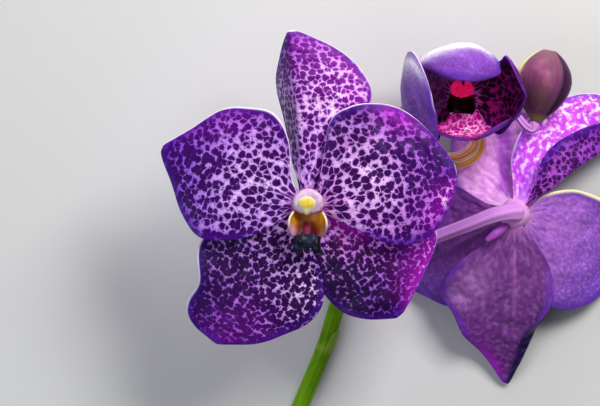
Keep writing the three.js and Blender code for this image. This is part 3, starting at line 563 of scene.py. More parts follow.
rearBlades = {
    # Its back is painted bright magenta and luminous, standing for sunlight shining through it; its face is
    # painted darker with shade, and its glowAt patches tint it violet, painted shade along its folded margin
    "dorsal_sepal": {
        "angle": 96, "length": 51, "foot": 3.4, "height": -0.5, "rise": [8, 18, 21, 12],
        "sweep": [-12, 0, 18, 32],
        "left": [2, 7, 13.5, 16.5, 16.5, 15, 12, 7], "right": [3, 7, 14, 18.5, 18, 17.8, 15.5, 10],
        "turnRight": [0, -60, 20, 0], "foldRight": 0.72, "turnLeft": [-100, -160, -165, -150],
        "foldLeft": 0.33, "wave": [0.8, 2, 0.2, 0.1], "seed": 34,
        "glowAt": [(0.1, -0.3, 0.2, 1.0), (0.3, -1.0, 0.12, 0.9), (1.0, 0.2, 0.3, 0.8)], "spotSize": 2.2,
        "look": {"backNear": "#d84cec", "backFar": "#c63ce4", "backPale": "#fff2ff", "backSpot": 1.0,
                 "glow": "#9a3cd0", "fleckSize": 1.5, "luminous": 0.2, "groundNear": "#a44cc0",
                 "groundFar": "#7c38ac", "halo": "#7c2ca0", "spotNear": "#38084c", "spotFar": "#300850",
                 "rim": "#fbe0f8"},
    },
    "left_petal": {
        "angle": 154, "length": 44, "height": 1.6, "rise": [22, 32, 36, 30],
        "left": [3, 12, 20, 26.3, 26.5, 23, 17, 9], "right": [3, 8, 11, 13, 12.5, 11, 8, 5],
        "turnLeft": [0, 6, 10, 8], "turnRight": [0, -10, -14, -10], "wave": [0.8, 2.2, 0.1, 0.45],
        "seed": 55, "rimWidth": 1.4,
        "look": {"backNear": "#b46cd4", "backFar": "#6a3cbc", "backPale": "#b888e4", "fleckSize": 0.9,
                 "rim": "#fff4c4", "backBase": "#c284cc"},
    },
    "right_petal": {
        "angle": 36, "length": 40, "height": 1.6, "rise": [20, 24, 15, -3],
        "left": [2, 7, 13, 17, 18, 16, 11, 6], "right": [3, 11, 15.5, 16.5, 15, 14, 11, 6],
        "turnLeft": [0, -8, -10, -6], "turnRight": [0, -8, -10, -6], "wave": [0.8, 2.4, 0.3, 0.6],
        "seed": 89,
        # This line of glowAt draws a darker violet band along the blade, in the glow colour
        "glowAt": [(share, 0.5 * share - 0.1, 0.06, 0.7) for share in np.arange(0.1, 0.95, 0.04)],
        "look": {"backNear": "#e8a4f0", "backFar": "#d484ea", "backPale": "#fccaf8", "backSpot": 0.5,
                 "glow": "#9c28c8", "fleckSize": 1.4, "rim": "#b880d8", "luminous": 0.08},
    },
    # The face of this sepal, where it folds over, is painted dark with shade; its glowAt is painted glow and
    # its pale places carry painted highlights
    "left_sepal": {
        "angle": 232, "length": 58.5, "foot": 3.6, "height": -0.8, "rise": [2, 25, 34, 32],
        "left": [1.6, 9, 19, 25, 20, 15.5, 8.5, 3], "right": [2, 6.5, 10.5, 13, 13, 9, 5, 2.5],
        "turnLeft": [0, -10, -14, -6], "turnRight": [0, -10, -150, -165], "foldRight": 0.6,
        "sweep": [0, 0, 6, 14], "wave": [1.4, 2.6, 0.1, 0.5], "seed": 144,
        "paleAt": [(0.34, 0.55, 0.1, 0.5), (0.42, 0.8, 0.08, 0.4)], "glowAt": [(0.9, 0.8, 0.2, 0.8)],
        "look": {"backNear": "#844498", "backFar": "#5c2a76", "backPale": "#a06cb4", "backSpot": 0.5,
                 "glow": "#a010b8", "backHighlight": "#cc8ee0", "midrib": "#bc70bc", "backBase": "#b070b8",
                 "fleckSize": 1.3, "rim": "#4c2864", "groundNear": "#5c3c88", "groundFar": "#583c88",
                 "halo": "#34185c", "spotNear": "#1c0c2c", "spotFar": "#180a2a", "margin": "#301c5c",
                 "base": "#583c88", "baseSpot": "#180a2a"},
    },
    "right_sepal": {
        "angle": 296, "length": 46, "foot": 3.6, "height": -0.4, "rise": [6, 26, 20, 8],
        "left": [2.5, 9, 17, 23, 24, 22, 16, 8], "right": [1.6, 6, 11, 16, 19.6, 16.5, 9, 4],
        "turnLeft": [0, 6, 10, 8], "turnRight": [0, 4, 10, 8], "wave": [1.1, 2.4, 0.6, 0.2], "seed": 233,
        "look": {"backNear": "#7c3c90", "backFar": "#5e369a", "backPale": "#8c5ca0", "backSpot": 0.4,
                 "rim": "#6c3c88", "backBase": "#a060a8"},
    },
}

openingBlades = {
    "dorsal_sepal": {
        "angle": 84, "length": 41, "foot": 2.8, "height": -0.9, "rise": [4, 52, 112, 178],
        "left": [1.6, 6.5, 13, 18, 20, 20.5, 19, 15], "right": [1.6, 8, 12, 12.5, 12.5, 14, 14, 12],
        "turnLeft": [10, 40, 65, 50], "turnRight": [10, 40, 60, 50], "seed": 377,
        # The pale places are painted highlights along the top of the hood
        "paleAt": [
            (0.56, 0.7, 0.14, 1.0), (0.57, 0.4, 0.14, 1.0), (0.57, 0.1, 0.1, 1.0), (0.57, -0.2, 0.09, 1.0),
            (0.56, -0.5, 0.09, 1.0),
        ],
    },
    "left_petal": {
        "angle": 162, "length": 24, "foot": 2.8, "height": 1, "rise": [12, 46, 64, 72],
        "left": [1.6, 6, 12, 15, 15, 13.5, 11, 7], "right": [1.6, 6, 11, 13, 12, 9.6, 6.5, 3],
        "turnLeft": [0, 30, 45, 45], "turnRight": [0, 30, 50, 50], "seed": 610,
        "look": {"groundNear": "#8a4a90", "groundFar": "#8c54a4", "halo": "#6c3880", "spotNear": "#582464",
                 "spotFar": "#6c3880", "margin": "#6a3890", "rim": "#a878d0", "luminous": 0.1},
    },
    "right_petal": {
        "angle": 2, "length": 29, "foot": 2.8, "height": 1, "rise": [2, 34, 62, 86],
        "left": [1.6, 7, 10, 11, 12.5, 14.5, 14.5, 11], "right": [1.6, 5, 10, 13, 13.5, 12, 9, 5],
        "turnLeft": [0, 28, 38, 45], "turnRight": [0, 30, 50, 60], "seed": 987,
        "look": {"groundNear": "#ac1474", "groundFar": "#641474", "halo": "#500a48", "margin": "#4a1488",
                 "backNear": "#4a084c", "backFar": "#34063e", "backPale": "#8a3094",
                 "backMargin": "#4a0c70", "rim": "#7c3cac", "luminous": 0.08},
    },
    "left_sepal": {
        "angle": 190, "length": 43, "foot": 2.8, "height": -0.9, "rise": [-4, 46, 108, 158],
        "left": [1.6, 8, 14, 17, 18, 18, 17.5, 14], "right": [1.6, 5, 11, 16, 18.5, 19, 19.5, 17],
        "turnLeft": [0, 30, 50, 40], "turnRight": [0, 30, 30, 10], "seed": 1597,
        # The pale places are painted highlights along its rolled margin
        "paleAt": [
            (0.88, -1.0, 0.16, 1.0), (0.68, -1.0, 0.16, 1.0), (0.52, -0.7, 0.12, 0.8),
            (0.5, -0.2, 0.1, 0.6),
        ],
        "look": {"rim": "#d0b8ec", "backNear": "#8c58c0", "backFar": "#8050b8", "backPale": "#b898dc"},
    },
    # Its face is painted bright magenta and luminous, lit by the sun, with painted shade near its left margin
    # and its tip
    "right_sepal": {
        "angle": 293, "length": 24, "foot": 2.8, "height": -0.9, "rise": [-8, 42, 80, 90],
        "sweep": [0, -10, -14, -10],
        "left": [1.6, 5, 11, 15, 17, 17, 14, 10], "right": [1.6, 8, 14, 16, 15.5, 14.5, 11.5, 7.5],
        "turnLeft": [0, 20, 36, 40], "turnRight": [0, 20, 40, 40], "seed": 2584, "spotSize": 1.8,
        "paleAt": [(0.45, -0.15, 0.2, 1.0)], "glowAt": [(0.5, -0.2, 0.3, 0.7)],
        "shadeAt": [(0.55, 0.9, 0.2, 1.0), (1.0, 0.3, 0.22, 1.0)], "denseAt": [(0.55, 0.9, 0.25, 1.0)],
        "look": {"groundNear": "#fc5ccc", "groundFar": "#d82ca8", "halo": "#d0189c", "spotNear": "#9c0478",
                 "spotFar": "#6c0454", "margin": "#38063c", "gap": (0.06, 0.0), "glow": "#f424b8",
                 "glowSpot": "#a80884", "shade": "#240322", "shadeAmount": 0.9, "rim": "#5c1864",
                 "luminous": 0.34},
    },
}

# Looks that all the sepals and petals of one bloom share. The opening bloom's faces are painted dark,
# standing for the shade inside the half-open bloom
openingLook = {
    "backNear": "#8440b4", "backFar": "#7a3cb2", "backPale": "#a878d0", "backSpot": 0.3,
    "groundNear": "#8a1068", "groundFar": "#5a1070", "halo": "#4a0a50", "spotNear": "#1c0220",
    "spotFar": "#18021e", "fleckSize": 0.7,
}

# The colours of a bloom's column, anther cap and lip
heartLook = {
    "column": "#dcc4de", "columnShade": "#c096c4", "foot": "#a868b4", "slit": "#ccb0d0", "cap": "#e6d04c",
    "capShade": "#dcb858", "capEdge": "#e4dcb4", "cup": "#cc8844", "flank": "#c08ca4",
    "farFlank": "#bc7c50", "amber": "#eca41c", "ochre": "#c0741c", "throat": "#500e04", "heart": "#600818",
    "ridge": "#843860", "lipRim": "#e8d8c0", "lipEdge": "#9c6c90", "lobe": "#0c0e1c",
    "lobeShade": "#2a3048", "spur": "#a450bc", "luminous": 0.0,
}
# The opening bloom's heart: its column and cap painted crimson and glowing, light shining through them, its
# slit painted dark with shade, and its lip's cup nearly black with painted shade inside the bud
openingHeart = {
    "column": "#fc1c6c", "columnShade": "#cc0c54", "foot": "#7c0636", "slit": "#3c0418", "cap": "#f81a68",
    "capShade": "#d00e56", "capEdge": "#e41460", "cup": "#1c0414", "flank": "#140310",
    "farFlank": "#140310", "amber": "#2c0618", "ochre": "#2c0618", "throat": "#0c0208", "heart": "#0c0208",
    "ridge": "#14040c", "lipRim": "#4a0828", "lipEdge": "#200410", "lobe": "#08040c",
    "lobeShade": "#140a1c", "luminous": 0.5,
}

# Where each bloom's hub stands, the way its face looks, and the way its dorsal side points. Heart is
# the scale of its column, cap and lip, and heartUp moves them to the dorsal side. LipTurn turns the
# lip, lipReach draws out its lobe and spur, and pucker is how high the fine swells of its blades are
blooms = {
    "front": {
        "at": [0, 0, 50], "face": [0, 0, 1], "dorsal": [0, 1, 0], "heart": 1, "lipTurn": -1.5,
        "lipReach": 1, "blades": frontBlades, "look": {}, "heartLook": {}, "heartUp": 0, "pucker": 0.22,
    },
    "rear": {
        "at": [68.9, -2.3, 19.8], "face": [0.1, -0.12, -0.985], "dorsal": [0.62, 0.79, 0], "heart": 1,
        "lipTurn": -6, "lipReach": 0.8, "blades": rearBlades, "look": {}, "heartLook": {}, "heartUp": 0,
        "pucker": 0.3,
    },
    "opening": {
        "at": [51.5, 37, 18], "face": [-0.06, -0.08, 0.995], "dorsal": [0, 1, 0], "heart": 0.75,
        "lipTurn": -4, "lipReach": 0.3, "blades": openingBlades, "look": openingLook,
        "heartLook": openingHeart, "heartUp": 2, "pucker": 0.2,
    },
}


# A bloom's own axes: +Z is the way its face looks, +Y its dorsal side
def bloomAxes(bloom):
    z = unit(np.array(bloom["face"], float))
    y = np.array(bloom["dorsal"], float)
    y = unit(y - z * (y @ z))
    return np.stack([np.cross(y, z), y, z])


# A bloom's own points, turned about the way its face looks, scaled, and set in the drawing
def inBloom(points, bloom, scale=1.0, turn=0.0):
    cosine, sine = cos(radians(turn)), sin(radians(turn))
    turned = points @ np.array([[cosine, sine, 0], [-sine, cosine, 0], [0, 0, 1]])
    return np.array(bloom["at"], float) + scale * turned @ bloomAxes(bloom)


# An angle along a blade, in radians, from its values at the thirds of the way
def bend(angles, u):
    return np.radians(smoothCurve(thirds, angles, u))


# The midrib: a running sum of small steps, each along a heading that rises and sweeps by the
# blade's angles. Gives points, directions across to the left, of the face, and ahead
def midribPlaces(shape, u):
    steps = 240
    angle = radians(shape["angle"])
    out = np.array([cos(angle), sin(angle), 0])
    side = np.array([-sin(angle), cos(angle), 0])

    def heading(at):
        rise, sweep = bend(shape["rise"], at)[:, None], bend(shape["sweep"], at)[:, None]
        return np.cos(rise) * (np.cos(sweep) * out + np.sin(sweep) * side) + np.sin(rise) * up

    strides = heading((np.arange(steps) + 0.5) / steps) * shape["length"] / steps
    gone = np.concatenate([np.zeros((1, 3)), np.cumsum(strides, 0)])
    points = shape["foot"] * out + shape["height"] * up + gone
    k = np.minimum((u * steps).astype(int), steps - 1)
    share = (u * steps - k)[:, None]
    ahead = heading(u)
    sweep = bend(shape["sweep"], u)[:, None]
    across = np.cos(sweep) * side - np.sin(sweep) * out
    return points[k] * (1 - share) + points[k + 1] * share, across, np.cross(ahead, across), ahead


# The middle surface: across each half, sums of the cosine and sine of a tilt that goes from lean to
# lean plus turn give its reach and its lift, and a wave lifts it more the nearer it is to the margin
def bladeGrid(shape, u, v):
    points, across, facing, ahead = midribPlaces(shape, u)
    steps = 96
    middles = (np.arange(steps) + 0.5) / steps
    closing = np.sqrt(1 - u ** bladeEdge["bluntness"])
    waveHigh, waveCount = shape["wave"][:2]
    reach, lift, width = (np.zeros((len(u), len(v))) for _ in range(3))
    for hand, sign, phase in (("Left", 1, shape["wave"][2]), ("Right", -1, shape["wave"][3])):
        chosen = v * sign > 0
        r = np.abs(v[chosen])
        halfWidth = smoothCurve(stations, shape[hand.lower()], u) * closing + bladeEdge["tip"]
        fold, crease = shape["fold" + hand], bladeEdge["crease"] / 2
        turned = smoothStep(fold - crease, fold + crease, middles) if fold else middles
        tilt = bend(shape["lean" + hand], u)[:, None] + bend(shape["turn" + hand], u)[:, None] * turned
        k = np.minimum((r * steps).astype(int), steps - 1)
        for grid, wave in ((reach, np.cos(tilt)), (lift, np.sin(tilt))):
            sums = np.concatenate([np.zeros((len(u), 1)), np.cumsum(wave, 1)], 1) * halfWidth[:, None] / steps
            grid[:, chosen] = sums[:, k] + (sums[:, k + 1] - sums[:, k]) * (r * steps - k)
        swing = np.sin(2 * pi * (waveCount * u + phase)) * np.sin(pi * u) ** 0.7
        lift[:, chosen] += waveHigh * swing[:, None] * r**2
        reach[:, chosen] *= sign
        width[:, chosen] = halfWidth[:, None]
    width[:, v == 0] = smoothCurve(stations, shape["left"], u)[:, None] + bladeEdge["tip"]
    grid = points[:, None] + across[:, None] * reach[..., None] + facing[:, None] * lift[..., None]
    return grid, width, across, facing, ahead


# How strongly a blade is touched at its listed places: bell curves in the shares along and across
def touched(places, u, v):
    total = np.zeros(np.broadcast(u, v).shape)
    for along, sideways, size, strength in places:
        away = ((u - along) ** 2 + (0.5 * (v - sideways)) ** 2) / size**2
        total += strength * np.exp(-away)
    return np.clip(total, 0, 1)


# A blade's surface and what its material reads: rows lie closer together towards the tip, and
# columns towards the margin
def bladeSurface(bloom, changes):
    shape = {**plainBlade, **changes}
    i = np.arange(shape["rows"] + 1) / shape["rows"]
    u = 0.5 * i + 0.5 * np.sin(pi / 2 * i)
    lastColumns = [0.96, 0.975, 0.987, 0.995, 1]
    r = np.concatenate([np.linspace(0, 0.94, shape["columns"] - len(lastColumns)), lastColumns])
    v = np.concatenate([-r[:0:-1], r])
    grid, width, across, facing, ahead = bladeGrid(shape, u, v)
    u, v = u[:, None], v[None]
    pattern, long = bladePattern, shape["length"]
    along, sideways = u * long + pattern["before"], v * width
    distance, fan = np.hypot(along, sideways), np.arctan2(sideways, along)
    marginMm = np.minimum(width * (1 - np.abs(v)), (1 - u) * long)

    # swells that fan out from the base, and are calmer there and at the margin
    seed = shape["seed"]
    swells = sum(
        high * swell(distance / pitch, fan * count, seed + k)
        for k, (high, pitch, count) in enumerate(bladeRelief["swells"])
    )
    least = bladeRelief["atMargin"]
    calm = least + (1 - least) * smoothStep(0, bladeRelief["marginWide"], marginMm)
    calm = smoothStep(*bladeRelief["base"], distance) * calm
    grid = grid + facing[:, None] * (bloom["pucker"] * calm * swells)[..., None]

    # the pattern's own plane: the way out from the base is stretched near it and towards the tip,
    # by an exponential and a cube of the distance
    away = distance / shape["spotSize"] + pattern["near"] * np.exp(-distance / pattern["nearReach"])
    away = away + pattern["far"] * (distance / long) ** 3
    # the rim: a painted highlight on the margins that look the way the light comes from
    lit = unit(v[..., None] ** 3 * across[:, None] + (u**6)[..., None] * ahead[:, None]) @ bloomAxes(bloom)
    lit = smoothStep(-0.1, 0.9, lit @ unit(np.array(shape["rimFrom"])))
    rim = lit * smoothStep(shape["rimWidth"], 0.2 * shape["rimWidth"], marginMm) * smoothStep(0.03, 0.1, u)
    values = {
        "spotPlace": together(away * np.cos(fan) + pattern["seedStep"] * seed, away * np.sin(fan), 0.0),
        "fanPlace": together(fan * pattern["veins"] + seed, distance * pattern["veinStretch"], 0.0),
        "bladeShare": together(distance / (long + pattern["before"]), marginMm, distance),
        "bladeLight": together(touched(shape["glowAt"], u, v), touched(shape["shadeAt"], u, v), rim),
        "bladeTone": together(touched(shape["denseAt"], u, v), touched(shape["paleAt"], u, v), np.abs(v)),
    }

    thick = bladeEdge["thick"] + (bladeEdge["base"] - bladeEdge["thick"]) * (1 - u) ** 3 * (1 - v**2)
    rounding = np.clip(marginMm / bladeEdge["round"], 0, 1)
    halfThickness = 0.5 * thick * np.sqrt(1 - (1 - rounding) ** 2)
    return thickSurface(inBloom(grid, bloom), halfThickness, values)


def makeBlades():
    for name, bloom in blooms.items():
        for part, shape in bloom["blades"].items():
            piece = f"{name}_{part}"
            material = tepalMaterial(piece + "_skin", {**bloom["look"], **shape.get("look", {})})
            addPiece(piece + "_fine", bladeSurface(bloom, shape), material, piece)
        print(name, "sepals and petals made")


makeBlades()


# Tubes: a profile carried along a path of points

# Places along a path: the shares of its length at its points, then the smooth curve through them,
# and the ways ahead, across (the given side, made square to it) and through
def pathPlaces(points, u, side):
    points = np.asarray(points, float)
    lengths = np.concatenate([[0], np.cumsum(np.linalg.norm(np.diff(points, axis=0), axis=1))])
    at = lengths / lengths[-1]
    centre = smoothCurve(at, points, u)
    before, after = np.maximum(u - 1e-3, 0), np.minimum(u + 1e-3, 1)
    ahead = unit(smoothCurve(at, points, after) - smoothCurve(at, points, before))
    across = unit(side - ahead * (ahead @ side)[:, None])
    return at, centre, ahead, across, np.cross(ahead, across)


# Angles at equal steps round a ring
def roundAngles(sides):
    return 2 * pi * np.arange(sides) / sides


# Points at a radius and an angle about each place of a path
def aboutPath(centre, across, through, radius, angle):
    points = centre[:, None] + (radius * np.cos(angle))[..., None] * across[:, None]
    return points + (radius * np.sin(angle))[..., None] * through[:, None]


# The rings of a tube: circles whose radius is a smooth curve of the given radii plus a cosine, which
# makes as many ridges and twists them on the way
def tubeRings(points, radii, side, steps, sides, ridges=0, ridgeHigh=0.0, twist=0.0):
    u = np.linspace(0, 1, steps + 1)
    at, centre, _, across, through = pathPlaces(points, u, np.asarray(side, float))
    t = roundAngles(sides)
    radius = smoothCurve(at, radii, u)[:, None] + ridgeHigh * np.cos(ridges * t + twist * u[:, None])
    return aboutPath(centre, across, through, radius, t), u[:, None], t[None]


# The stalks: the route from the stem to the hub, the radii on it, the side that the rings start
# from, and goldenLight, the share of the way where the stalk is painted golden with light shining
# through it, and how far this spreads. The bud's stalk has no hub, so its colours go only as far as
# shareTo
stalks = {
    "front": {
        "route": [[12.5, -26.5, 3], [10.5, -22, 10], [6.5, -13, 24], [2.2, -4, 37], [0, 0, 42.5]],
        "radii": [1.5, 1.4, 1.5, 1.9, 2.3], "side": [1, 0, 0], "goldenLight": (2.0, 0.1),
    },
    "rear": {
        "route": [[15.5, -18, 3], [27, -16.5, 10], [43.6, -9.7, 20], [54, -5.6, 25.4], [61, -2.8, 27.6],
                  [65.8, -1.8, 27.2], [68.3, -1.9, 25]],
        "radii": [1.8, 1.9, 2.1, 2.3, 2.5, 2.7, 3.0], "side": [-0.35, 0.93, 0], "goldenLight": (2.0, 0.1),
    },
    "opening": {
        "route": [[26.5, 16, 2.6], [34, 16.5, 7], [44, 15.8, 11.6], [51.5, 15.8, 13.6], [56.4, 19.4, 13.2],
                  [57, 26, 11.6], [55, 32.4, 10.8], [52.3, 36, 12.6]],
        "radii": [1.4, 1.5, 2.2, 2.9, 2.9, 2.4, 2, 2], "side": [0, 0, 1], "goldenLight": (0.5, 0.2),
    },
    "bud": {
        "route": [[33, 32.8, 2.2], [45, 42.5, 5.5], [56, 44.5, 8.8], [62, 41.8, 12], [66, 36.5, 15.6],
                  [70, 30.4, 18.8], [72.6, 27, 19.4], [74.9, 25.9, 18.6], [76, 27.6, 17.9]],
        "radii": [1.1, 1.1, 1.1, 1.1, 1.1, 1.1, 1.2, 1.4, 1.8], "side": [0, 0, 1], "goldenLight": (2.0, 0.1),
        "shareTo": 0.8,
    },
}
stalkRings = {"steps": 110, "sides": 48, "ridges": 6, "ridgeHigh": 0.16, "twist": 3.0}
hub = {"radius": 3.9, "back": -3, "top": 2.4}
collar = {
    "radii": [1.0, 2.6, 3.8, 4.5, 5.0, 5.2], "heights": [-4.6, -4.3, -3.5, -2.5, -1.1, 0.2],
    "rib": 0.3, "ribWide": 0.3, "steps": 25, "sides": 90,
}


# The collar at the back of a bloom: rings whose radius swells a little towards each sepal and petal,
# by a bell curve of the angle from it
def collarSurface(bloom):
    s, at = np.linspace(0, 1, collar["steps"]), np.linspace(0, 1, len(collar["radii"]))
    radius, z = (smoothCurve(at, collar[key], s)[:, None] for key in ("radii", "heights"))
    s, t = s[:, None], roundAngles(collar["sides"])[None]
    angles = np.radians([shape["angle"] for shape in bloom["blades"].values()])
    nearest = np.abs(np.angle(np.exp(1j * (t[..., None] - angles)))).min(-1)
    radius = radius + collar["rib"] * (np.exp(-((nearest / collar["ribWide"]) ** 2)) - 0.5) * s
    rings = together(radius * np.cos(t), radius * np.sin(t), z)
    values = {"tube": together(0.9 + 0.1 * s, t / (2 * pi), 0.0)}
    return tubeSurface(inBloom(rings, bloom, bloom["heart"]), values)


# A stalk: a ridged, twisted tube along its route that widens into the hub of its bloom. Its values
# are the shares along and round, and how much painted golden light it has, a bell curve of the share along
def stalkSurface(name):
    stalk = stalks[name]
    points, radii = list(stalk["route"]), list(stalk["radii"])
    if name in blooms:
        bloom = blooms[name]
        ends = np.array([[0, 0, hub["back"]], [0, 0, hub["top"]]], float) * bloom["heart"]
        points += inBloom(ends, bloom).tolist()
        radii += [hub["radius"] * bloom["heart"] - 0.2, hub["radius"] * bloom["heart"]]
    rings, u, t = tubeRings(points, radii, stalk["side"], **stalkRings)
    middle, spreadOut = stalk["goldenLight"]
    goldenLightShare = np.exp(-(((u - middle) / spreadOut) ** 2))
    share = u * stalk.get("shareTo", 1)
    surface = tubeSurface(rings, {"tube": together(share, t / (2 * pi), goldenLightShare)})
    return joined([surface, collarSurface(blooms[name])]) if name in blooms else surface


# The colours of the stalks, with the painted golden light and its painted pale highlight, and how
# many times finer the streaks are round them than along them
stalkLook = {
    "foot": "#8fae58", "skin": "#dc96ea", "streak": "#b274cc", "hub": "#e2a4de", "goldenHighlight": "#fff2c8",
    "goldenLight": "#e89a1c", "streaks": 34.0,
}


def stalkMaterial():
    look = stalkLook
    material, tree, shader = newMaterial("stalk_skin", tissue)
    along, around, goldenLight = parts(tree, "tube")
    streak = streaks(tree, around, look["streaks"], along, goldenLight)
    # amber: painted golden light shining through the stalk, streaked with a painted highlight
    amber = layered(tree, look, "goldenHighlight", (spread(tree, streak, 0.4, 0.6), "goldenLight"))
    colour = layered(
        tree, look, "foot", (spread(tree, along, 0.05, 0.4), "skin"),
        (spread(tree, streak, 0.45, 0.7), "streak"), (spread(tree, along, 0.85, 1.0), "hub"),
        (spread(tree, goldenLight, 0.1, 0.7), amber),
    )
    roughness = spread(tree, noise(tree, objectPlace(tree), 500.0), 0.3, 0.7, 0.32, 0.48)
    finishSkin(tree, shader, colour, streak, 0.4, roughness=roughness)
    return material


def makeStalks():
    material = stalkMaterial()
    for name in stalks:
        addPiece(name + "_stalk_fine", stalkSurface(name), material, name + "_stalk")
    print("stalks made")


makeStalks()

# The stem: its middle line from above, from the cut end to the tip, with the radius, which is also
# its height. A small bract clasps it at each node, turned to one side and the other by turns
stem = {
    "route": [[-30, -128, 3.1], [-19.5, -106, 2.95], [-9.6, -84.5, 2.85], [-2.3, -67.3, 2.8],
              [2.3, -56.2, 2.8], [6, -47, 2.75], [9.6, -35, 2.7], [15, -18.6, 2.5], [21.7, 2.3, 2.2],
              [28, 20, 1.9], [33.6, 34.4, 1.5]],
    "cut": 35, "nodes": [0.17, 0.5, 0.64, 0.82, 0.93], "swelling": 0.07, "nodeLong": 0.006,
    "rings": {"steps": 260, "sides": 48, "ridges": 9, "ridgeHigh": 0.05, "twist": 2.0},
    "bract": {"long": 7.5, "wide": 2.6, "lift": 0.5, "thick": 0.22, "turn": 60},
}


# The stem: a ridged tube on the surface, which a bell curve swells at each node; its first rings
# slant with the cut
def stemSurface():
    route = np.array(stem["route"], float)
    rings, u, t = tubeRings(route, route[:, 2], up, **stem["rings"])
    _, centre, ahead, *_ = pathPlaces(route, u[:, 0], up)
    near = np.exp(-(((u - np.array(stem["nodes"])) / stem["nodeLong"]) ** 2)).sum(1)[:, None]
    spokes = rings - centre[:, None]
    rings = centre[:, None] + spokes * (1 + stem["swelling"] * near)[..., None]
    slant = tan(radians(stem["cut"])) * np.maximum(0, 1 - u * 40)
    rings = rings + ahead[:, None] * (slant * (spokes @ up))[..., None]
    rings[..., 2] = np.maximum(rings[..., 2], 0.02)
    return tubeSurface(rings, {"tube": together(u, t / (2 * pi), near)})


# A bract: a pointed scale wrapped round the stem, whose width falls as a root of the way along it
# and whose tip lifts by the square of it
def bractSurface(share, turn):
    bract, route = stem["bract"], np.array(stem["route"], float)
    a, v = np.linspace(0, 1, 26), np.linspace(-1, 1, 21)[None]
    total = np.linalg.norm(np.diff(route, axis=0), axis=1).sum()
    u = share + a * bract["long"] / total
    at, centre, _, across, through = pathPlaces(route, u, up)
    radius = smoothCurve(at, route[:, 2], u)
    width = bract["wide"] * np.sqrt(1 - a**1.7 * 0.995)
    angle = radians(turn) + v * (width / radius)[:, None]
    grid = aboutPath(centre, across, through, (radius + 0.1 + bract["lift"] * a**2)[:, None], angle)
    sides, tip = np.clip(1 - np.abs(v) ** 6, 0, 1), np.clip(1 - a[:, None] ** 8, 0, 1)
    half = bract["thick"] * np.sqrt(sides) * np.sqrt(tip)
    return thickSurface(grid[:, ::-1], half, {"tube": together(u[:, None], v, 1.0)})


# The colours of the stem, how fine its streaks are round and along it, and how deep light goes in
stemLook = {
    "skin": "#588c04", "streak": "#7cb414", "patch": "#346404", "node": "#a8c454", "cut": "#d8e0a8",
    "streaks": 60.0, "drawn": 9.0, "depth": (0.4, 1.0, 0.2),
}


def stemMaterial():
    look = stemLook
    material, tree, shader = newMaterial("stem_skin", {**tissue, "Subsurface Radius": look["depth"]})
    along, around, node = parts(tree, "tube")
    place = objectPlace(tree)
    streak = streaks(tree, around, look["streaks"], maths(tree, "MULTIPLY", along, look["drawn"]))
    patch = spread(tree, noise(tree, place, 160.0, 3.0), 0.45, 0.75, 0.0, 0.5)
    colour = layered(
        tree, look, "skin", (spread(tree, streak, 0.35, 0.7), "streak"), (patch, "patch"),
        (node, 0.4, "node"), (spread(tree, along, 0.0022, 0.0), "cut"),
    )
    roughness = spread(tree, noise(tree, place, 600.0), 0.3, 0.7, 0.3, 0.46)
    finishSkin(tree, shader, colour, streak, 0.35, roughness=roughness)
    return material


def makeStem():
    turn = stem["bract"]["turn"]
    bracts = [bractSurface(share, turn if k % 2 else -turn) for k, share in enumerate(stem["nodes"])]
    addPiece("stem_fine", joined([stemSurface(), *bracts]), stemMaterial(), "stem")
    print("stem made")


makeStem()

# The heart of a bloom, in the bloom's own millimetres: column, anther cap and lip
column = {
    "heights": [2.6, 4, 5.6, 7.2, 8.2, 8.7, 9.0, 9.15],
    "halfWidths": [4.2, 5.0, 5.1, 5.0, 4.7, 4.2, 3.2, 1.2],
    "halfDepths": [3.8, 4.2, 4.3, 4.2, 4.0, 3.5, 2.7, 1.0],
    "middle": 1.7, "hollow": 0.1, "hollowWide": 0.5, "taper": 0.12, "slit": 0.6,
}
antherCap = {
    "middle": [-0.4, 1.1], "halfWidth": 3.0, "halfDepth": 2.4, "high": 1.9, "base": 8.5,
    "beak": 1.2, "beakWide": 0.52, "beakTaper": 0.25, "beakDrop": 0.5, "groove": 0.35, "grooveWide": 0.45,
    "oval": [(-0.4, 1.2), (2.8, 2.1)],  # the yellow part: its middle and its half-widths
}
lip = {
    "cup": {
        "from": -1.4, "to": -9.4, "halfWidth": [4.6, 5.7, 6.1, 5.9, 5.0], "floor": [3.6, 3.3, 3.8, 4.8, 5.8],
        "high": [4.6, 6.2, 6.2, 5.0, 3.0], "wrap": 104, "thick": 0.7, "ridge": 0.3,
    },
    "lobe": {
        "start": [0, -6.5, 1.8],
        "steps": [[0, 0, 0], [0, -1.6, 1.9], [0, -3.2, 3.3], [0, -4.8, 3.7], [0, -6.4, 3.4]],
        "halfWidths": [2.6, 4.0, 4.2, 4.2, 3.9], "halfDepths": [1.1, 1.4, 1.7, 1.8, 1.5],
        "groove": 0.6, "ridge": 0.08, "ridgePitch": 3.2, "notch": 1.0, "roundFrom": 0.72, "roundLong": 0.285,
        "arm": [[2.3, -3.4, 3.6], [2.8, -5.4, 3.9], [3.0, -6.9, 3.4], [2.7, -8.2, 2.3]],
        "armRadii": [1.2, 1.5, 1.5, 0.7],
    },
    "spur": {
        "neck": [[0, -5.2, 3.6], [0, -5.3, 0.5], [0, -5.4, -2.4]],
        "steps": [[1.6, -4.8, -3.2], [3.4, -9.6, -4.0]], "radii": [0.75, 0.75, 1.1, 1.5, 0.8],
    },
}
lipParts = {"cup": 0.0, "lobe": 1.0, "spur": 2.0}  # numbers that tell the material which part a place is on


# The angle from the front of a ring, from a half turn on one side to a half turn on the other
def fromFront(t):
    return (t + pi / 2 + pi) % (2 * pi) - pi


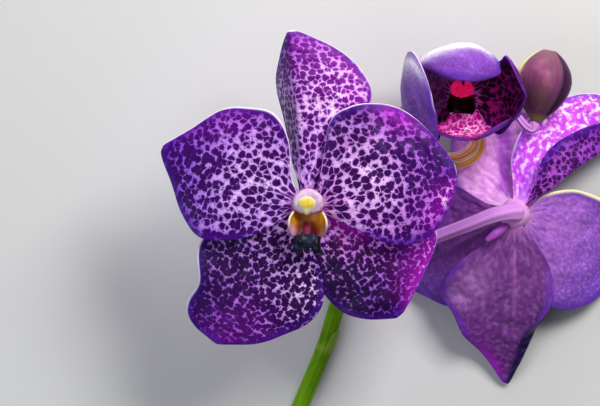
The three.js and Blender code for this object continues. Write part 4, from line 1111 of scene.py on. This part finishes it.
# The column: ovals that grow narrower at the back and up to its rounded top, with a hollow at the
# front, each a bell curve or a sine of the angle
def columnSurface():
    s = np.linspace(0, 1, 49)
    at = np.linspace(0, 1, len(column["heights"]))
    z, a, b = (smoothCurve(at, column[key], s)[:, None] for key in ("heights", "halfWidths", "halfDepths"))
    t = roundAngles(72)
    waist = 1 - column["hollow"] * np.exp(-((fromFront(t) / column["hollowWide"]) ** 2))
    x = a * waist * np.cos(t) * (1 - column["taper"] * np.sin(t))
    y = column["middle"] + b * waist * np.sin(t)
    rings = together(x, y, z)
    return tubeSurface(rings, {"heart": rings})


# The anther cap: a dome whose outline runs out in a beak at the front, with a groove over its middle
def capSurface():
    s, t = np.linspace(0, 0.995, 26)[:, None], roundAngles(60)[None]
    share = np.sqrt(1 - s * s)
    front = np.exp(-((fromFront(t) / antherCap["beakWide"]) ** 4))
    middle = antherCap["middle"]
    x = middle[0] + antherCap["halfWidth"] * share * np.cos(t) * (1 - antherCap["beakTaper"] * front)
    y = middle[1] + (antherCap["halfDepth"] * np.sin(t) - antherCap["beak"] * front) * share
    groove = antherCap["groove"] * np.exp(-(((x - middle[0]) / antherCap["grooveWide"]) ** 2)) * s
    z = antherCap["base"] + antherCap["high"] * s - groove - antherCap["beakDrop"] * front * share
    rings = together(x, y, z)
    return tubeSurface(rings, {"heart": rings})


# The lip's cup: a trough from the column to the middle lobe, whose section is an arc that rises to
# a wing on each side, with a ridge along the floor
def cupSurface():
    cup = lip["cup"]
    a, v = np.linspace(0, 1, 50), np.linspace(-1, 1, 61)[None]
    at = np.linspace(0, 1, len(cup["floor"]))
    halfWidth, floor, high = (smoothCurve(at, cup[key], a)[:, None] for key in ("halfWidth", "floor", "high"))
    a, angle, most = a[:, None], np.radians(cup["wrap"]) * v, 1 - cos(radians(cup["wrap"]))
    ridge = cup["ridge"] * np.exp(-((v / 0.1) ** 2)) * np.sin(pi * a)
    z = floor + high * (1 - np.cos(angle)) / most + ridge
    grid = together(halfWidth * np.sin(angle), cup["from"] + (cup["to"] - cup["from"]) * a, z)
    edge = np.clip(np.minimum(1 - np.abs(v), 0.6 * np.minimum(a, 1 - a)) / 0.06, 0, 1)
    half = 0.5 * cup["thick"] * np.sqrt(1 - (1 - edge) ** 2)
    values = {"heart": together(v, a, lipParts["cup"])[::-1, ::-1]}
    return thickSurface(grid[::-1, ::-1], half[::-1], values)


# The middle lobe: oval rings with a groove along the face and low ridges beside it, rounded off by
# an arc from roundFrom on, and notched at the end
def lobeSurface(reach):
    lobe = lip["lobe"]
    points = np.array(lobe["start"]) + reach * np.array(lobe["steps"])
    u = np.sin(np.linspace(0, 1, 61) * pi / 2)
    at, centre, ahead, across, through = pathPlaces(points, u, np.array([1.0, 0, 0]))
    t = roundAngles(64)[None]
    end = np.sqrt(1 - np.clip((u - lobe["roundFrom"]) / lobe["roundLong"], 0, 1) ** 2)[:, None]
    a, b = (smoothCurve(at, lobe[key], u)[:, None] * end for key in ("halfWidths", "halfDepths"))
    x = a * np.cos(t)
    upper, middle = np.maximum(np.sin(t), 0), np.exp(-(x**2))
    cut = lobe["groove"] * upper * middle * end
    ridges = lobe["ridge"] * np.cos(lobe["ridgePitch"] * x) * upper * end * (1 - middle)
    y = b * np.sin(t) - cut + ridges
    u = u[:, None]
    forward = lobe["notch"] * u**2 * (np.abs(np.cos(t)) ** 1.5 - 0.6)
    rings = centre[:, None] + x[..., None] * across[:, None] + y[..., None] * through[:, None]
    rings = rings + forward[..., None] * ahead[:, None]
    return tubeSurface(rings, {"heart": together(np.cos(t), u, lipParts["lobe"])})


# An arm at each side of the lobe's end: a tapering tube
def armSurface(reach, sign):
    lobe = lip["lobe"]
    points = np.array(lobe["start"]) + reach * np.array(lobe["arm"]) * np.array([sign, 1, 1])
    rings, u, t = tubeRings(points, lobe["armRadii"], [1, 0, 0], 30, 32)
    return tubeSurface(rings, {"heart": together(np.cos(t), u, lipParts["lobe"])})


# The spur: a tube from below the cup that widens before its tip
def spurSurface(reach):
    spur = lip["spur"]
    points = spur["neck"] + (np.array(spur["neck"][-1]) + reach * np.array(spur["steps"])).tolist()
    rings, u, t = tubeRings(points, spur["radii"], [1, 0, 0], 40, 32)
    return tubeSurface(rings, {"heart": together(np.cos(t), u, lipParts["spur"])})


def columnMaterial(name, look):
    values = {**tissue, "Emission Strength": look["luminous"]}
    material, tree, shader = newMaterial(name + "_column_skin", values)
    place = objectPlace(tree)
    x, y, z = parts(tree, "heart")
    uneven = spread(tree, noise(tree, place, 420.0, 3.0), 0.35, 0.7)
    aside = maths(tree, "ABSOLUTE", maths(tree, "SUBTRACT", x, column["slit"]))
    colour = layered(
        tree, look, "column", (uneven, "columnShade"), (spread(tree, z, 8.6, 3.0, 0.0, 0.8), "foot"),
        (spread(tree, aside, 0.8, 0.4), spread(tree, y, 2.0, 3.0), "slit"),
    )
    finishSkin(tree, shader, colour, noise(tree, place, 1500.0), 0.2, 0.00008)
    return material


# The cap is yellow inside an oval with an uneven edge
def capMaterial(name, look):
    values = {**tissue, "Roughness": 0.32, "Emission Strength": look["luminous"]}
    material, tree, shader = newMaterial(name + "_anther_cap_skin", values)
    place = objectPlace(tree)
    x, y, _ = parts(tree, "heart")
    (atX, atY), (halfX, halfY) = antherCap["oval"]
    wide = maths(tree, "MULTIPLY_ADD", x, 1 / halfX, -atX / halfX)
    deep = maths(tree, "MULTIPLY_ADD", y, 1 / halfY, -atY / halfY)
    away = maths(tree, "ADD", maths(tree, "MULTIPLY", wide, wide), maths(tree, "MULTIPLY", deep, deep))
    uneven = maths(tree, "MULTIPLY_ADD", noise(tree, place, 500.0), 0.5, -0.25)
    colour = layered(
        tree, look, "cap", (spread(tree, noise(tree, place, 700.0), 0.35, 0.7), "capShade"),
        (spread(tree, maths(tree, "ADD", away, uneven), 0.45, 1.0), "capEdge"),
    )
    finishSkin(tree, shader, colour, noise(tree, place, 1300.0), 0.25, 0.00008)
    return material


# The lip: its cup is ochre, crimson and mauve with pale rims, its lobe blue-black and its spur pale.
# The attribute holds the shares across and along, and the part of the lip
def lipMaterial(name, look):
    material, tree, shader = newMaterial(name + "_lip_skin", {**tissue, "Roughness": 0.3})
    place = objectPlace(tree)
    across, along, part = parts(tree, "heart")
    outwards = maths(tree, "ABSOLUTE", across)
    uneven = maths(tree, "MULTIPLY_ADD", noise(tree, place, 420.0, 3.0), 0.36, -0.18)
    wing = maths(tree, "ADD", outwards, uneven)
    flank = layered(tree, look, "flank", (spread(tree, across, 0.1, 0.6), "farFlank"))
    inward = spread(tree, maths(tree, "ADD", along, uneven), 0.2, 0.7)
    rim = layered(tree, look, "lipRim", (spread(tree, along, 0.35, 0.75), "lipEdge"))
    edge = maths(tree, "MULTIPLY_ADD", uneven, 0.2, outwards)

    # the band of ochre on each side nears the middle on the way to the lobe, and the wedge of the
    # dark throat and its crimson heart widens
    band = maths(tree, "SUBTRACT", wing, maths(tree, "MULTIPLY_ADD", along, -0.9, 0.75))
    band = maths(tree, "ABSOLUTE", band)
    wedge = maths(tree, "SUBTRACT", wing, maths(tree, "MULTIPLY_ADD", along, 0.5, -0.1))
    cup = layered(
        tree, look, "cup", (inward, flank), (spread(tree, band, 0.45, 0.12), "ochre"),
        (spread(tree, band, 0.22, 0.02), spread(tree, wing, 0.3, 0.5), "amber"),
        (spread(tree, wedge, 0.3, -0.06), spread(tree, along, 0.2, 0.5), "throat"),
        (spread(tree, wedge, 0.14, -0.12), spread(tree, along, 0.5, 0.8), "heart"),
        (spread(tree, outwards, 0.13, 0.02), spread(tree, along, 0.5, 0.75, 0.0, 0.7), "ridge"),
        (spread(tree, edge, 0.76, 0.9), rim),
    )
    lobe = layered(tree, look, "lobe", (spread(tree, noise(tree, place, 380.0), 0.4, 0.65), "lobeShade"))
    colour = layered(
        tree, look, cup, (spread(tree, part, 0.4, 0.6), lobe), (spread(tree, part, 1.4, 1.6), "spur"),
    )
    finishSkin(tree, shader, colour, noise(tree, place, 1100.0, 3.0), 0.3)
    return material


def makeHearts():
    makers = {"column": columnMaterial, "anther_cap": capMaterial, "lip": lipMaterial}
    for name, bloom in blooms.items():
        look = {**heartLook, **bloom["heartLook"]}
        reach = bloom["lipReach"]
        lobes = [lobeSurface(reach), armSurface(reach, -1), armSurface(reach, 1)]
        surfaces = {
            "column": columnSurface(),
            "anther_cap": capSurface(),
            "lip": joined([cupSurface(), *lobes, spurSurface(reach)]),
        }
        for part, surface in surfaces.items():
            points = surface["points"] + [0, bloom["heartUp"], 0]
            turn = bloom["lipTurn"] if part == "lip" else 0
            surface["points"] = inBloom(points, bloom, bloom["heart"], turn)
            addPiece(f"{name}_{part}_fine", surface, makers[part](name, look), f"{name}_{part}")
    print("columns, caps and lips made")


makeHearts()

# The bud, from its base to its tip; span is the part of the egg shape's outline that it follows
bud = {
    "base": [76.2, 28.6, 17.8], "tip": [80.8, 52.2, 17.6], "halfWidth": 9.4, "span": [0.05, 0.97],
    "groove": 0.8, "grooveWidth": 0.26, "turn": -1.2, "veins": 24, "veinHigh": 0.02, "steps": 121,
    "sides": 160,
}


# An egg shape round its axis, whose radius is a power of a sine. At each of three seams, where the
# sine of one and a half times the angle is 0, a groove is cut by a bell curve
def budSurface():
    base, tip = np.array(bud["base"], float), np.array(bud["tip"], float)
    u = np.linspace(0, 1, bud["steps"])
    _, centre, _, across, through = pathPlaces([base, (base + tip) / 2, tip], u, up)
    u, t = u[:, None], roundAngles(bud["sides"])[None]
    along = bud["span"][0] + (bud["span"][1] - bud["span"][0]) * u
    full = bud["halfWidth"] * np.sin(pi * along**1.25) ** 0.66
    seam = np.exp(-((np.sin(1.5 * t + bud["turn"]) / bud["grooveWidth"]) ** 2))
    veins = bud["veinHigh"] * np.sin(bud["veins"] * t + 4 * u) * np.sin(pi * along)
    radius = full - bud["groove"] * np.sin(pi * along) * seam + veins
    rings = aboutPath(centre, across, through, radius, t)
    return tubeSurface(rings, {"tube": together(u, t / (2 * pi), seam)})


# The colours of the bud, the share of the way round where it is dark, and how fine its streaks are
budLook = {
    "skin": "#6e3460", "streak": "#864874", "brown": "#74584c", "rose": "#a85886", "dark": "#2c1038",
    "darkSide": 0.23, "low": "#241424", "seam": "#26142c", "lit": "#f4e494", "base": "#8a8440",
    "streaks": 46.0, "drawn": 2.4,
}


def budMaterial():
    look = budLook
    material, tree, shader = newMaterial("bud_skin", tissue)
    along, around, seam = parts(tree, "tube")
    place = objectPlace(tree)
    streak = streaks(tree, around, look["streaks"], maths(tree, "MULTIPLY", along, look["drawn"]))
    turned = maths(tree, "ABSOLUTE", maths(tree, "SUBTRACT", around, look["darkSide"]))
    lit = maths(tree, "MULTIPLY", spread(tree, around, 0.7, 0.76), spread(tree, around, 0.82, 0.77))
    colour = layered(
        tree, look, "skin", (spread(tree, streak, 0.1, 0.9), "streak"),
        (spread(tree, noise(tree, place, 110.0), 0.4, 0.7, 0.0, 0.7), "brown"),
        (spread(tree, noise(tree, place, 160.0), 0.5, 0.7, 0.0, 0.6), "rose"),
        (spread(tree, turned, 0.16, 0.06, 0.0, 0.82), "dark"),
        (spread(tree, along, 0.55, 0.2, 0.0, 0.35), "low"),
        (spread(tree, seam, 0.3, 1.0, 0.0, 0.8), "seam"), (lit, spread(tree, along, 0.45, 0.7), "lit"),
        (spread(tree, along, 0.14, 0.0), "base"),
    )
    roughness = spread(tree, noise(tree, place, 500.0), 0.3, 0.7, 0.34, 0.5)
    finishSkin(tree, shader, colour, streak, 0.4, roughness=roughness)
    return material


addPiece("bud_fine", budSurface(), budMaterial(), "bud")
print("bud made")

# The camera looks straight down; its frame is 193.5 mm wide at the front bloom's plane
view = {"at": [-2.6, 1.3, 950], "frameWidth": 193.5, "plane": 50, "sensor": 36}


def makeCamera():
    data = bpy.data.cameras.new("camera")
    data.sensor_width = view["sensor"]
    data.lens = view["sensor"] * (view["at"][2] - view["plane"]) / view["frameWidth"]
    data.clip_start, data.clip_end = 0.01, 10
    camera = bpy.data.objects.new("camera", data)
    camera.location = (np.array(view["at"]) - boxCentre) * mm
    bpy.context.scene.collection.objects.link(camera)
    bpy.context.scene.camera = camera


makeCamera()

# Soft studio light: a key from the upper right, a low light from behind the blooms and a weak fill
lights = {
    "key": {"at": [260, 330, 480], "size": 260, "power": 3.6, "colour": (1.0, 0.97, 0.92)},
    "behind": {"at": [80, 420, 60], "size": 200, "power": 1.4, "colour": (1.0, 0.95, 0.88)},
    "fill": {"at": [-380, -160, 420], "size": 420, "power": 1.3, "colour": (0.92, 0.95, 1.0)},
}
lightTarget = [20, 10, 35]
studio = {"colour": (0.9, 0.93, 1.0, 1.0), "strength": 0.12}
floorLook = {"reach": 4.0, "colour": (0.66, 0.67, 0.68, 1.0), "roughness": 0.9}


def makeLights():
    target = Vector((np.array(lightTarget) - boxCentre) * mm)
    for name, light in lights.items():
        data = bpy.data.lights.new(name, "AREA")
        data.size, data.energy, data.color = light["size"] * mm, light["power"], light["colour"]
        lamp = bpy.data.objects.new(name, data)
        lamp.location = (np.array(light["at"]) - boxCentre) * mm
        lamp.rotation_euler = (target - lamp.location).to_track_quat("-Z", "Y").to_euler()
        bpy.context.scene.collection.objects.link(lamp)
    world = bpy.data.worlds.new("studio")
    world.use_nodes = True
    soft = world.node_tree.nodes["Background"].inputs
    soft["Color"].default_value, soft["Strength"].default_value = studio["colour"], studio["strength"]
    bpy.context.scene.world = world
    bpy.context.scene.view_settings.view_transform = "Standard"


def makeFloor():
    mesh = bpy.data.meshes.new("floor")
    reach = floorLook["reach"]
    corners = [(-reach, -reach, 0), (reach, -reach, 0), (reach, reach, 0), (-reach, reach, 0)]
    mesh.from_pydata(corners, [], [(0, 1, 2, 3)])
    floor = bpy.data.objects.new("floor", mesh)
    bpy.context.scene.collection.objects.link(floor)
    paint = {"Base Color": floorLook["colour"], "Roughness": floorLook["roughness"]}
    mesh.materials.append(newMaterial("floor_paint", paint)[0])


makeLights()
makeFloor()
print("camera, lights and floor made")
